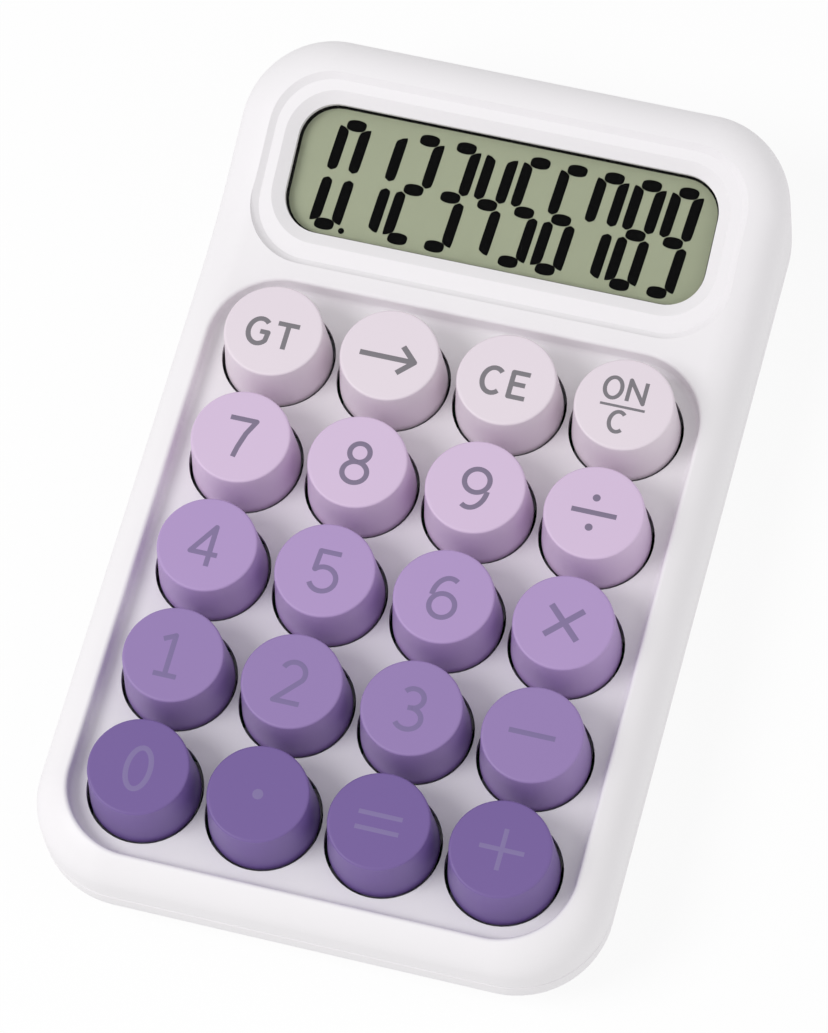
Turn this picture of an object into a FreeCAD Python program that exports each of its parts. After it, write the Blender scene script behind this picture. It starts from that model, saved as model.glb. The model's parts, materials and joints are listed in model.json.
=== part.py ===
import FreeCAD, Part
import math
import os
import re
import Sketcher
from FreeCAD import Placement, Rotation, Vector

# Desk calculator with twenty round mechanical keys in a sunk well and a tilted display.
# Frame: +X to the right along a key row, +Y from the keys towards the display, +Z up.
# The origin is under the middle of the case, on the surface that the feet stand on.

# Driving dimensions, in millimetres and degrees
SIZES = {
    # key field
    "key_pitch": 19.05,
    "key_gap": 1.75,
    "key_hole_gap": 0.5,
    "key_stand": 5.6,
    "key_travel": 3.8,
    # keycaps
    "cap_top_inset": 0.77,
    "cap_wall": 1.1,
    "cap_roof": 1.6,
    "cap_edge_radius": 0.4,
    "cap_sink": 0.65,
    "post_radius": 2.75,
    # well round the keys
    "well_side_margin": 2.4,
    "well_end_margin": 2.7,
    "well_depth": 3.55,
    "well_floor": 1.8,
    "well_rim_radius": 0.6,
    "well_foot_radius": 1.0,
    # case
    "deck_height": 20.9,
    "side_rim": 5.5,
    "front_rim": 4.3,
    "display_length": 42.6,
    "corner_radius": 15.0,
    "top_edge_radius": 7.0,
    "inner_edge_radius": 3.0,
    "bottom_edge_radius": 7.0,
    "tray_room_radius": 4.5,
    "parting_height": 10.5,
    "case_wall": 2.0,
    "case_draft": 1.0,
    "seam_chamfer": 0.25,
    "lip_inset": 1.0,
    "lip_height": 1.0,
    "lip_gap": 0.1,
    "foot_stand": 1.2,
    "foot_radius": 4.5,
    "foot_chamfer": 0.4,
    "foot_sink": 0.6,
    "foot_inset_x": 15.0,
    "foot_inset_y": 16.0,
    # tilted display deck
    "display_tilt": 18.0,
    "fold_distance": 8.0,
    "fold_radius": 60.0,
    "surround_width": 79.3,
    "surround_length": 32.2,
    "surround_corner": 10.3,
    "surround_depth": 0.8,
    "surround_slope": 1.2,
    "surround_shift": 2.4,
    "window_width": 69.6,
    "window_length": 21.35,
    "window_corner": 6.2,
    "window_shift": 0.5,
    "bowl_slope": 2.0,
    "bowl_depth": 1.3,
    "deck_plate": 3.2,
    # display stack under the deck plate
    "lens_lap": 1.2,
    "glass_corner": 0.6,
    "lens_thickness": 1.2,
    "panel_thickness": 2.0,
    "frame_wall": 1.0,
    "zebra_height": 1.6,
    "zebra_width": 2.4,
    "display_board_thickness": 1.0,
    # switches
    "switch_body": 14.0,
    "switch_flange": 15.6,
    "switch_flange_height": 1.0,
    "switch_base_height": 5.0,
    "switch_top_height": 6.6,
    "switch_peg_radius": 2.0,
    "switch_peg_length": 2.6,
    "switch_cavity": 8.4,
    "switch_cavity_floor": 1.0,
    "switch_roof": 2.0,
    "tower_base": 12.4,
    "tower_top": 10.4,
    "tower_corner": 3.4,
    "stem_width": 6.8,
    "stem_depth": 5.8,
    "cross_length": 4.0,
    "cross_width": 1.2,
    "cross_height": 3.8,
    "cross_fit": 0.05,
    "stem_crown": 1.1,
    "slide_gap": 0.1,
    "press_gap": 0.5,
    "spring_radius": 2.1,
    "spring_wall": 0.4,
    "spring_room": 0.3,
    "pole_height": 2.5,
    # boards
    "board_thickness": 1.6,
    "board_edge": 0.7,
    "board_tail": 10.0,
    # screws and bosses
    "boss_radius": 2.8,
    "small_post_radius": 1.6,
    "small_screw_radius": 0.7,
    "small_head_radius": 1.3,
    "small_head_height": 0.8,
    "small_screw_grip": 1.8,
    "board_screw_inset": 3.5,
    "display_post_x": 39.0,
    "display_post_y": 7.0,
    "screw_radius": 0.95,
    "screw_head_radius": 2.0,
    "screw_head_height": 1.2,
    "screw_recess": 1.6,
    "screw_gap": 0.2,
    "screw_grip": 6.0,
    "pilot_room": 0.5,
    "pilot_gap": 0.05,
    "boss_joint_height": 9.0,
    "boss_inset": 6.3,
    "rear_boss_inset": 9.3,
    "rear_boss_setback": 4.9,
    # battery bay
    "battery_radius": 5.25,
    "battery_length": 44.5,
    "terminal_radius": 1.9,
    "terminal_height": 1.0,
    "battery_setback": 13.85,
    "battery_gap": 0.25,
    "bay_room": 2.05,
    "bay_end_room": 1.95,
    "bay_wall": 1.2,
    "door_end_room": 1.5,
    "door_gap": 0.25,
    "door_travel": 13.0,
    "tongue_width": 1.0,
    "tongue_length": 4.5,
    "tongue_height": 0.8,
    "door_lip_height": 6.5,
    "grip_width": 18.0,
    "grip_length": 7.0,
    "grip_depth": 0.6,
    "contact_thickness": 0.4,
    "contact_width": 8.0,
    "button_rim": 0.3,
    "tab_width": 2.0,
    "tab_height": 2.4,
    "lead_radius": 0.5,
    "lead_rise": 3.0,
    "ribbon_width": 16.0,
    "ribbon_thickness": 0.3,
    "ribbon_gap": 0.02,
    "ribbon_lap": 5.0,
    "ribbon_bow": 2.0,
    "chip_width": 12.0,
    "chip_length": 4.0,
    "chip_height": 1.4,
    "chip_gap": 0.5,
    # how far joined pieces sink into each other, and how far a cut runs past a face
    "root_depth": 0.5,
    "cut_past": 1.0,
}
COLUMNS = 4
ROWS = 5
# Heights that differ by less than this count as equal
SAME = 0.1
KEY_NAMES = [
    ["gt", "arrow", "ce", "on_c"],
    ["7", "8", "9", "divide"],
    ["4", "5", "6", "multiply"],
    ["1", "2", "3", "minus"],
    ["0", "point", "equals", "plus"],
]

doc = FreeCAD.newDocument("calculator")
sheet = doc.addObject("Spreadsheet::Sheet", "Sizes")
for row, (alias, value) in enumerate(SIZES.items(), start=1):
    sheet.set(f"A{row}", alias)
    sheet.set(f"B{row}", str(value))
    sheet.setAlias(f"B{row}", alias)
doc.recompute()

# Sizes that follow from the driving dimensions, in the order in which they are worked out
DERIVED = {
    "cap_radius": "(key_pitch - key_gap) / 2",
    "hole_radius": "cap_radius + key_hole_gap",
    "key_span_x": f"{(COLUMNS - 1) / 2} * key_pitch",
    "key_span_y": f"{(ROWS - 1) / 2} * key_pitch",
    "well_half_width": "key_span_x + hole_radius + well_side_margin",
    "well_half_length": "key_span_y + hole_radius + well_end_margin",
    "case_half_width": "well_half_width + side_rim",
    "case_half_length": "front_rim / 2 + well_half_length + display_length / 2",
    "field_y": "front_rim + well_half_length - case_half_length",
    "well_end_y": "field_y + well_half_length",
    "key_top": "deck_height + key_stand",
    "well_bottom": "deck_height - well_depth",
    "floor_bottom": "well_bottom - well_floor",
    "cap_bottom": "well_bottom - cap_sink",
    "flange_top": "cap_bottom - key_travel - press_gap",
    "flange_bottom": "flange_top - switch_flange_height",
    "board_top": "flange_bottom - switch_base_height",
    "board_bottom": "board_top - board_thickness",
    "switch_top": "flange_bottom + switch_top_height",
    "floor_top": "foot_stand + case_wall",
    "inner_half_width": "case_half_width - case_wall",
    "inner_half_length": "case_half_length - case_wall",
    "fold_y": "well_end_y + fold_distance",
    "rise": "tan(display_tilt)",
    "surround_y": "well_end_y + display_length / 2 - surround_shift",
    "surround_z": "deck_height + (surround_y - fold_y) * rise",
    "rear_top": "deck_height + (case_half_length - fold_y) * rise",
    "plate_drop": "deck_plate / cos(display_tilt)",
    "inner_fold_y": "fold_y + (floor_bottom - deck_height + plate_drop) / rise",
    "window_depth": "surround_depth + bowl_depth",
    "lens_length": "window_length + 2 * lens_lap",
    "stack_depth": "deck_plate + lens_thickness + panel_thickness + zebra_height",
    "boss_x": "case_half_width - boss_inset",
    "rear_boss_x": "boss_x - rear_boss_inset",
    "rear_boss_y": "case_half_length - rear_boss_setback",
    "foot_x": "case_half_width - foot_inset_x",
    "foot_y": "case_half_length - foot_inset_y",
    "screw_seat": "foot_stand + screw_recess + screw_head_height",
    "battery_y": "case_half_length - battery_setback",
    "battery_z": "floor_top + battery_gap + battery_radius",
    "bay_half_length": "battery_radius + bay_room",
    "bay_half_width": "battery_length / 2 + bay_end_room",
    "bay_top": "battery_z + battery_radius + battery_gap",
    "door_half_width": "battery_length / 2 + door_end_room",
    "door_front": "battery_y - bay_half_length",
    "grip_y": "(door_front + case_half_length) / 2",
    "tongue_front": "door_front + door_gap",
    "tongue_rear": "tongue_front + tongue_length",
    "tongue_bottom": "floor_top - slide_gap - tongue_height",
    "tab_front": "battery_y - contact_width / 2",
    "tab_end": "bay_half_width + bay_wall + 2 * lead_radius + door_gap",
    "board_half_width": "key_span_x + switch_body / 2 + board_edge",
    "board_front": "field_y - key_span_y - switch_body / 2 - board_edge",
    "board_rear": "field_y + key_span_y + switch_body / 2 + board_edge + board_tail",
    "shaft_top": "switch_top + slide_gap",
    "peg_length": "min(switch_peg_length; board_top - floor_top - slide_gap)",
    "lead_level": "max(battery_z; board_top + 2 * lead_radius)",
    "post_bottom": "shaft_top + slide_gap",
    "cavity_floor": "board_top + switch_cavity_floor",
    "stem_bottom": "cavity_floor + key_travel + slide_gap",
    "shoulder_top": "switch_top - switch_roof - slide_gap",
}
WORD = re.compile(r"[a-z][a-z_]*")


def formula(text):
    """An expression for the document, from the plain names of sizes."""

    def qualify(match):
        word = match.group()
        if word in SIZES:
            return f"Sizes.{word}"
        if word in DERIVED:
            return f"Derived.{word}"
        return word

    return WORD.sub(qualify, text)


derived = doc.addObject("App::VarSet", "Derived")
for name, text in DERIVED.items():
    derived.addProperty("App::PropertyFloat", name)
for name, text in DERIVED.items():
    derived.setExpression(name, formula(text))
doc.recompute()


def number(name):
    """The present value of a size."""
    if name in SIZES:
        return sheet.get(name)
    return getattr(derived, name)


def bind(thing, path, text):
    thing.setExpression(path, formula(text))


def body(name):
    made = doc.addObject("PartDesign::Body", name)
    made.Label = name
    return made


def sketch_on(owner, name, role, offset=(), tilt=None):
    """A sketch on one of the body's origin planes, moved by bound offsets and tipped back about X."""
    sketch = owner.newObject("Sketcher::SketchObject", name)
    plane = next(o for o in owner.Origin.OriginFeatures if o.Role == role)
    sketch.AttachmentSupport = [(plane, "")]
    sketch.MapMode = "FlatFace"
    if tilt:
        sketch.AttachmentOffset = Placement(Vector(), Rotation(Vector(1, 0, 0), number(tilt)))
        bind(sketch, "AttachmentOffset.Rotation.Angle", tilt)
    for axis, text in offset:
        bind(sketch, f"AttachmentOffset.Base.{axis}", text)
    return sketch


def constrain(sketch, name, text, *terms):
    """A named constraint whose value is bound to a size."""
    index = sketch.addConstraint(Sketcher.Constraint(*terms))
    sketch.renameConstraint(index, name)
    bind(sketch, f"Constraints.{name}", text)


def rounded_rectangle(sketch, half_width, half_length, corner, centre="0"):
    """A rectangle with round corners on the sketch's Y axis. Its centre lies on that axis."""
    wide, long, radius, middle = 20.0, 30.0, 3.0, 10.0
    arcs = []
    quarter = math.pi / 2
    for turn, (x, y) in enumerate([(1, 1), (-1, 1), (-1, -1), (1, -1)]):
        hub = Vector(x * (wide - radius), middle + y * (long - radius), 0)
        circle = Part.Circle(hub, Vector(0, 0, 1), radius)
        arcs.append(sketch.addGeometry(Part.ArcOfCircle(circle, turn * quarter, (turn + 1) * quarter)))
    sides = []
    for turn in range(4):
        begin = sketch.getPoint(arcs[turn], 2)
        end = sketch.getPoint(arcs[(turn + 1) % 4], 1)
        sides.append(sketch.addGeometry(Part.LineSegment(begin, end)))
    for turn in range(4):
        sketch.addConstraint(Sketcher.Constraint("Tangent", arcs[turn], 2, sides[turn], 1))
        sketch.addConstraint(Sketcher.Constraint("Tangent", sides[turn], 2, arcs[(turn + 1) % 4], 1))
    top, left, bottom, right = sides
    sketch.addConstraint(Sketcher.Constraint("Horizontal", bottom))
    for side in (left, right):
        sketch.addConstraint(Sketcher.Constraint("Vertical", side))
    for arc in arcs[1:]:
        sketch.addConstraint(Sketcher.Constraint("Equal", arcs[0], arc))
    sketch.addConstraint(Sketcher.Constraint("Symmetric", top, 1, top, 2, -2))
    constrain(sketch, "corner", corner, "Radius", arcs[0], radius)
    constrain(sketch, "width", f"2 * ({half_width})", "DistanceX", left, 1, right, 1, 2 * wide)
    constrain(sketch, "near", f"{centre} - ({half_length})", "DistanceY", -1, 1, bottom, 1, middle - long)
    constrain(sketch, "far", f"{centre} + ({half_length})", "DistanceY", -1, 1, top, 1, middle + long)


def outline(sketch, corners):
    """A closed outline of straight sides whose corners lie at bound places."""
    count = len(corners)
    turns = [math.tau * i / count for i in range(count)]
    rough = [Vector(math.cos(turn), math.sin(turn), 0) * 10 for turn in turns]
    sides = []
    for i in range(count):
        sides.append(sketch.addGeometry(Part.LineSegment(rough[i], rough[(i + 1) % count])))
    for i in range(count):
        sketch.addConstraint(Sketcher.Constraint("Coincident", sides[i], 2, sides[(i + 1) % count], 1))
    for i, (across, along) in enumerate(corners):
        constrain(sketch, f"across_{i}", across, "DistanceX", -1, 1, sides[i], 1, rough[i].x)
        constrain(sketch, f"along_{i}", along, "DistanceY", -1, 1, sides[i], 1, rough[i].y)


def rectangle(sketch, half_width, half_length):
    outline(sketch, [
        (f"-({half_width})", f"-({half_length})"),
        (half_width, f"-({half_length})"),
        (half_width, half_length),
        (f"-({half_width})", half_length),
    ])


def cross(sketch, arm, half_width):
    """A plus sign with equal arms."""
    quadrant = [(arm, f"-({half_width})"), (arm, half_width), (half_width, half_width)]
    corners = []
    for turn in range(4):
        for x, y in quadrant:
            for _ in range(turn):
                x, y = f"-({y})", x
            corners.append((x, y))
    outline(sketch, corners)


def discs(sketch, radius, places):
    """Circles of one radius at bound places."""
    for i, (across, along) in enumerate(places):
        disc = sketch.addGeometry(Part.Circle(Vector(3 * i + 1, 3 * i + 1, 0), Vector(0, 0, 1), 1))
        constrain(sketch, f"radius_{i}", radius, "Radius", disc, 1)
        constrain(sketch, f"across_{i}", across, "DistanceX", -1, 1, disc, 3, 3 * i + 1)
        constrain(sketch, f"along_{i}", along, "DistanceY", -1, 1, disc, 3, 3 * i + 1)


def raise_pad(owner, sketch, length, down=False, taper=None):
    pad = owner.newObject("PartDesign::Pad", sketch.Name + "_pad")
    pad.Profile = sketch
    pad.Reversed = down
    bind(pad, "Length", length)
    if taper:
        bind(pad, "TaperAngle", taper)
    sketch.Visibility = False
    return pad


def sink_pocket(owner, sketch, depth, up=False):
    """A pocket that goes down from its sketch, or up from it."""
    pocket = owner.newObject("PartDesign::Pocket", sketch.Name + "_pocket")
    pocket.Profile = sketch
    pocket.Reversed = up
    bind(pocket, "Length", depth)
    return pocket


def turn_profile(owner, sketch, axis):
    turned = owner.newObject("PartDesign::Revolution", sketch.Name + "_turned")
    turned.Profile = sketch
    turned.ReferenceAxis = (sketch, [axis])
    turned.Angle = 360
    return turned


def round_edges(owner, feature, chosen, radius):
    """A fillet on the edges of a feature that a test picks out."""
    doc.recompute()
    names = [f"Edge{i}" for i, edge in enumerate(feature.Shape.Edges, start=1) if chosen(edge)]
    fillet = owner.newObject("PartDesign::Fillet", feature.Name + "_round")
    fillet.Base = (feature, names)
    bind(fillet, "Radius", radius)
    return fillet


def plane_sketch(owner, name, height):
    """A level sketch at a height above the ground."""
    return sketch_on(owner, name, "XY_Plane", [("z", height)])


def deck_sketch(owner, name, drop="0"):
    """A sketch parallel to the display deck, below it, with its origin under the surround's middle."""
    place = [
        ("y", f"surround_y + ({drop}) * sin(display_tilt)"),
        ("z", f"surround_z - ({drop}) * cos(display_tilt)"),
    ]
    return sketch_on(owner, name, "XY_Plane", place, tilt="display_tilt")


def grid(owner, feature, sketch):
    """A feature repeated for every key of the field, from the first key."""
    pattern = owner.newObject("PartDesign::LinearPattern", feature.Name + "_grid")
    pattern.Originals = [feature]
    pattern.Direction = (sketch, ["H_Axis"])
    pattern.Occurrences = COLUMNS
    bind(pattern, "Length", "2 * key_span_x")
    pattern.Direction2 = (sketch, ["V_Axis"])
    pattern.Occurrences2 = ROWS
    bind(pattern, "Length2", "2 * key_span_y")
    owner.Tip = pattern
    return pattern


def key_places():
    """The middle of every key, from the first row at the display end."""
    for row in range(ROWS):
        for column in range(COLUMNS):
            x = f"{column} * key_pitch - key_span_x"
            y = f"field_y + key_span_y - {row} * key_pitch"
            yield row, column, x, y


def place_body(thing, x, y):
    bind(thing, "Placement.Base.x", x)
    bind(thing, "Placement.Base.y", y)


def copies(name, unit, placements):
    """One node that groups equal loose pieces."""
    group = doc.addObject("Part::Feature", name)
    group.Label = name
    pieces = []
    for placement in placements:
        piece = unit.Shape.copy()
        piece.Placement = placement.multiply(piece.Placement)
        pieces.append(piece)
    group.Shape = Part.makeCompound(pieces)
    return group


def keycap(name):
    """A round cap with a sloping skirt, a flat roof and a socket post."""
    cap = body(name)
    top_radius = "cap_radius - cap_top_inset"
    profile = sketch_on(cap, name + "_profile", "XZ_Plane")
    outline(profile, [
        ("0", "post_bottom"),
        ("post_radius", "post_bottom"),
        ("post_radius", "key_top - cap_roof"),
        (f"{top_radius} - cap_wall", "key_top - cap_roof"),
        ("cap_radius - cap_wall", "cap_bottom"),
        ("cap_radius", "cap_bottom"),
        (top_radius, "key_top"),
        ("0", "key_top"),
    ])
    turned = turn_profile(cap, profile, "V_Axis")
    socket = plane_sketch(cap, name + "_socket", "post_bottom")
    cross(socket, "cross_length / 2 + cross_fit", "cross_width / 2 + cross_fit")
    sink_pocket(cap, socket, "cross_height + cross_fit", up=True)
    rim = number("key_top")
    round_edges(cap, cap.Tip, lambda edge: is_level(edge, rim), "cap_edge_radius")
    return cap


def stem(name):
    """The slider of one switch: a hollow shoulder, a shaft and the cross that carries the cap."""
    slider = body(name)
    shoulder = plane_sketch(slider, name + "_shoulder", "stem_bottom")
    rectangle(shoulder, "switch_cavity / 2 - slide_gap", "switch_cavity / 2 - slide_gap")
    raise_pad(slider, shoulder, "shoulder_top - stem_bottom")
    shaft = plane_sketch(slider, name + "_shaft", "shoulder_top")
    rectangle(shaft, "stem_width / 2", "stem_depth / 2")
    raise_pad(slider, shaft, "shaft_top - shoulder_top")
    tip = plane_sketch(slider, name + "_cross", "shaft_top")
    cross(tip, "cross_length / 2", "cross_width / 2")
    raise_pad(slider, tip, "cross_height")
    bore = plane_sketch(slider, name + "_bore", "stem_bottom")
    discs(bore, "spring_radius + spring_room", [("0", "0")])
    sink_pocket(slider, bore, "shoulder_top - stem_bottom - stem_crown", up=True)
    return slider


def switch_base():
    """The lower housing of a switch, with its flange, board peg and spring pole."""
    base = body("switch_base_unit")
    block = plane_sketch(base, "base_block", "board_top")
    rectangle(block, "switch_body / 2", "switch_body / 2")
    raise_pad(base, block, "flange_bottom - board_top")
    flange = plane_sketch(base, "base_flange", "flange_bottom")
    rectangle(flange, "switch_flange / 2", "switch_flange / 2")
    raise_pad(base, flange, "switch_flange_height")
    cavity = plane_sketch(base, "base_cavity", "flange_top")
    rectangle(cavity, "switch_cavity / 2", "switch_cavity / 2")
    sink_pocket(base, cavity, "flange_top - cavity_floor")
    pole = plane_sketch(base, "base_pole", "cavity_floor")
    discs(pole, "spring_radius - spring_wall - spring_room", [("0", "0")])
    raise_pad(base, pole, "pole_height")
    peg = plane_sketch(base, "base_peg", "board_top")
    discs(peg, "switch_peg_radius", [("0", "0")])
    raise_pad(base, peg, "peg_length", down=True)
    return base


def switch_top():
    """The upper housing of a switch: a tapered tower with a guide opening for the stem."""
    tower = body("switch_top_unit")
    block = plane_sketch(tower, "tower_block", "flange_top")
    rounded_rectangle(block, "tower_base / 2", "tower_base / 2", "tower_corner")
    slope = "-atan((tower_base - tower_top) / 2 / (switch_top - flange_top))"
    raise_pad(tower, block, "switch_top - flange_top", taper=slope)
    cavity = plane_sketch(tower, "tower_cavity", "flange_top")
    rectangle(cavity, "switch_cavity / 2", "switch_cavity / 2")
    sink_pocket(tower, cavity, "switch_top - switch_roof - flange_top", up=True)
    guide = plane_sketch(tower, "tower_guide", "switch_top")
    rectangle(guide, "stem_width / 2 + slide_gap", "stem_depth / 2 + slide_gap")
    sink_pocket(tower, guide, "switch_top - flange_top")
    return tower


def switch_spring():
    """The room that one coil spring takes, from the pole's foot to the crown of the stem."""
    spring = body("switch_spring_unit")
    ring = plane_sketch(spring, "spring_ring", "cavity_floor")
    discs(ring, "spring_radius", [("0", "0")])
    raise_pad(spring, ring, "shoulder_top - stem_crown - spring_room - cavity_floor")
    hollow = plane_sketch(spring, "spring_hollow", "cavity_floor")
    discs(hollow, "spring_radius - spring_wall", [("0", "0")])
    sink_pocket(spring, hollow, "shoulder_top - cavity_floor", up=True)
    return spring


def block(name, x_range, y_range, z_range):
    """A box between bound limits."""
    box = doc.addObject("Part::Box", name)
    for side, axis, (low, high) in zip(("Length", "Width", "Height"), "xyz", (x_range, y_range, z_range)):
        bind(box, side, f"({high}) - ({low})")
        bind(box, f"Placement.Base.{axis}", low)
    return box


def post(name, radius, place, z_range):
    """An upright cylinder between bound heights."""
    low, high = z_range
    cylinder = doc.addObject("Part::Cylinder", name)
    bind(cylinder, "Radius", radius)
    bind(cylinder, "Height", f"({high}) - ({low})")
    for axis, text in zip("xyz", (*place, low)):
        bind(cylinder, f"Placement.Base.{axis}", text)
    return cylinder


def deck_post(name, radius, place, drop_range):
    """A cylinder square to the display deck, between two distances below it."""
    low, high = drop_range
    across, along = place
    cylinder = doc.addObject("Part::Cylinder", name)
    cylinder.Placement = Placement(Vector(), Rotation(Vector(1, 0, 0), number("display_tilt")))
    bind(cylinder, "Placement.Rotation.Angle", "display_tilt")
    bind(cylinder, "Radius", radius)
    bind(cylinder, "Height", f"({high}) - ({low})")
    bind(cylinder, "Placement.Base.x", across)
    foot_y = f"surround_y + ({along}) * cos(display_tilt) + ({high}) * sin(display_tilt)"
    foot_z = f"surround_z + ({along}) * sin(display_tilt) - ({high}) * cos(display_tilt)"
    bind(cylinder, "Placement.Base.y", foot_y)
    bind(cylinder, "Placement.Base.z", foot_z)
    return cylinder


def joined(name, pieces):
    fuse = doc.addObject("Part::MultiFuse", name)
    fuse.Shapes = pieces
    return fuse


def cut(name, base, tool):
    result = doc.addObject("Part::Cut", name)
    result.Base = base
    result.Tool = tool
    return result


def both_sides(x):
    return [f"-({x})", x]


def case_screw_places():
    for x in both_sides("boss_x"):
        for y in ("field_y - 1.5 * key_pitch", "field_y + 1.5 * key_pitch"):
            yield x, y
    for x in both_sides("rear_boss_x"):
        yield x, "rear_boss_y"


def board_screw_places():
    for x in both_sides("key_pitch"):
        for y in ("field_y - 1.5 * key_pitch", "field_y + 1.5 * key_pitch", "board_rear - board_screw_inset"):
            yield x, y


def display_screw_places():
    for x in both_sides("display_post_x"):
        for y in ("window_shift - display_post_y", "window_shift + display_post_y"):
            yield x, y


def side_view(sketch, deck, fold):
    """The room above a case top, seen from the side: a level stretch, an arc and the tilted deck."""
    tilt = math.radians(number("display_tilt"))
    radius = number("fold_radius")
    tangent = radius * math.tan(tilt / 2)
    bend = Vector(number("fold_y"), number("deck_height"), 0)
    reach = number("case_half_length") + number("corner_radius")
    high = bend.y + (reach - bend.x) * math.tan(tilt)
    begin = bend - Vector(tangent, 0, 0)
    end = bend + Vector(math.cos(tilt), math.sin(tilt), 0) * tangent
    corners = [Vector(-reach, bend.y, 0), begin, end, Vector(reach, high, 0), Vector(reach, reach, 0),
               Vector(-reach, reach, 0)]
    level = sketch.addGeometry(Part.LineSegment(corners[0], corners[1]))
    circle = Part.Circle(begin + Vector(0, radius, 0), Vector(0, 0, 1), radius)
    arc = sketch.addGeometry(Part.ArcOfCircle(circle, -math.pi / 2, tilt - math.pi / 2))
    sides = [sketch.addGeometry(Part.LineSegment(corners[i], corners[(i + 1) % 6])) for i in (2, 3, 4, 5)]
    sketch.addConstraint(Sketcher.Constraint("Tangent", level, 2, arc, 1))
    sketch.addConstraint(Sketcher.Constraint("Tangent", arc, 2, sides[0], 1))
    for first, second in zip(sides, sides[1:] + [level]):
        sketch.addConstraint(Sketcher.Constraint("Coincident", first, 2, second, 1))
    sketch.addConstraint(Sketcher.Constraint("Horizontal", level))
    constrain(sketch, "blend", "fold_radius", "Radius", arc, radius)
    far = "(case_half_length + corner_radius)"
    constrain(sketch, "blend_start", f"{fold} - fold_radius * tan(display_tilt / 2)",
              "DistanceX", -1, 1, level, 2, begin.x)
    constrain(sketch, "level_height", deck, "DistanceY", -1, 1, level, 1, bend.y)
    constrain(sketch, "front_end", f"-{far}", "DistanceX", -1, 1, level, 1, -reach)
    constrain(sketch, "rear_end", far, "DistanceX", -1, 1, sides[0], 2, reach)
    constrain(sketch, "rear_height", f"{deck} + ({far} - ({fold})) * rise",
              "DistanceY", -1, 1, sides[0], 2, high)
    for i, across in ((1, far), (2, f"-{far}")):
        constrain(sketch, f"roof_across_{i}", across, "DistanceX", -1, 1, sides[i], 2, corners[3 + i].x)
        constrain(sketch, f"roof_height_{i}", far, "DistanceY", -1, 1, sides[i], 2, reach)


def is_level(edge, height):
    """Whether an edge lies in the level plane at a height."""
    box = edge.BoundBox
    return abs(box.ZMin - height) < SAME and abs(box.ZMax - height) < SAME


def bevel_seam(owner, feature):
    """A small chamfer round the outer edge where the two shells meet."""
    doc.recompute()
    seam = number("parting_height")
    names = [f"Edge{i}" for i, edge in enumerate(feature.Shape.Edges, start=1) if is_level(edge, seam)]
    bevel = owner.newObject("PartDesign::Chamfer", feature.Name + "_bevel")
    bevel.Base = (feature, names)
    bind(bevel, "Size", "seam_chamfer")
    return bevel


def case_block(name, inset, deck, fold, edge_radius):
    """A closed block with the case's outline, draft, tilted deck and rounded upper edges."""
    shell = body(name)
    plan = plane_sketch(shell, name + "_plan", "parting_height")
    rounded_rectangle(plan, f"case_half_width - {inset}", f"case_half_length - {inset}",
                      f"corner_radius - {inset}")
    raise_pad(shell, plan, "rear_top + deck_plate - parting_height", taper="-case_draft")
    side = sketch_on(shell, name + "_side", "YZ_Plane")
    side_view(side, deck, fold)
    doc.recompute()
    trimmed = sink_pocket(shell, side, "4 * case_half_width")
    trimmed.Midplane = True
    middle = number("case_half_length") - number("corner_radius")
    low = number("parting_height") + SAME

    def on_rim(edge):
        box = edge.BoundBox
        straight = box.XLength > number("case_half_width") and box.YLength < SAME
        crosses = straight and abs(box.Center.y) < middle
        return box.ZMin > low and not crosses

    round_edges(shell, trimmed, on_rim, edge_radius)
    return shell


def loft_down(owner, name, upper, lower):
    loft = owner.newObject("PartDesign::SubtractiveLoft", name)
    loft.Profile = upper
    loft.Sections = [lower]
    return loft


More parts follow.
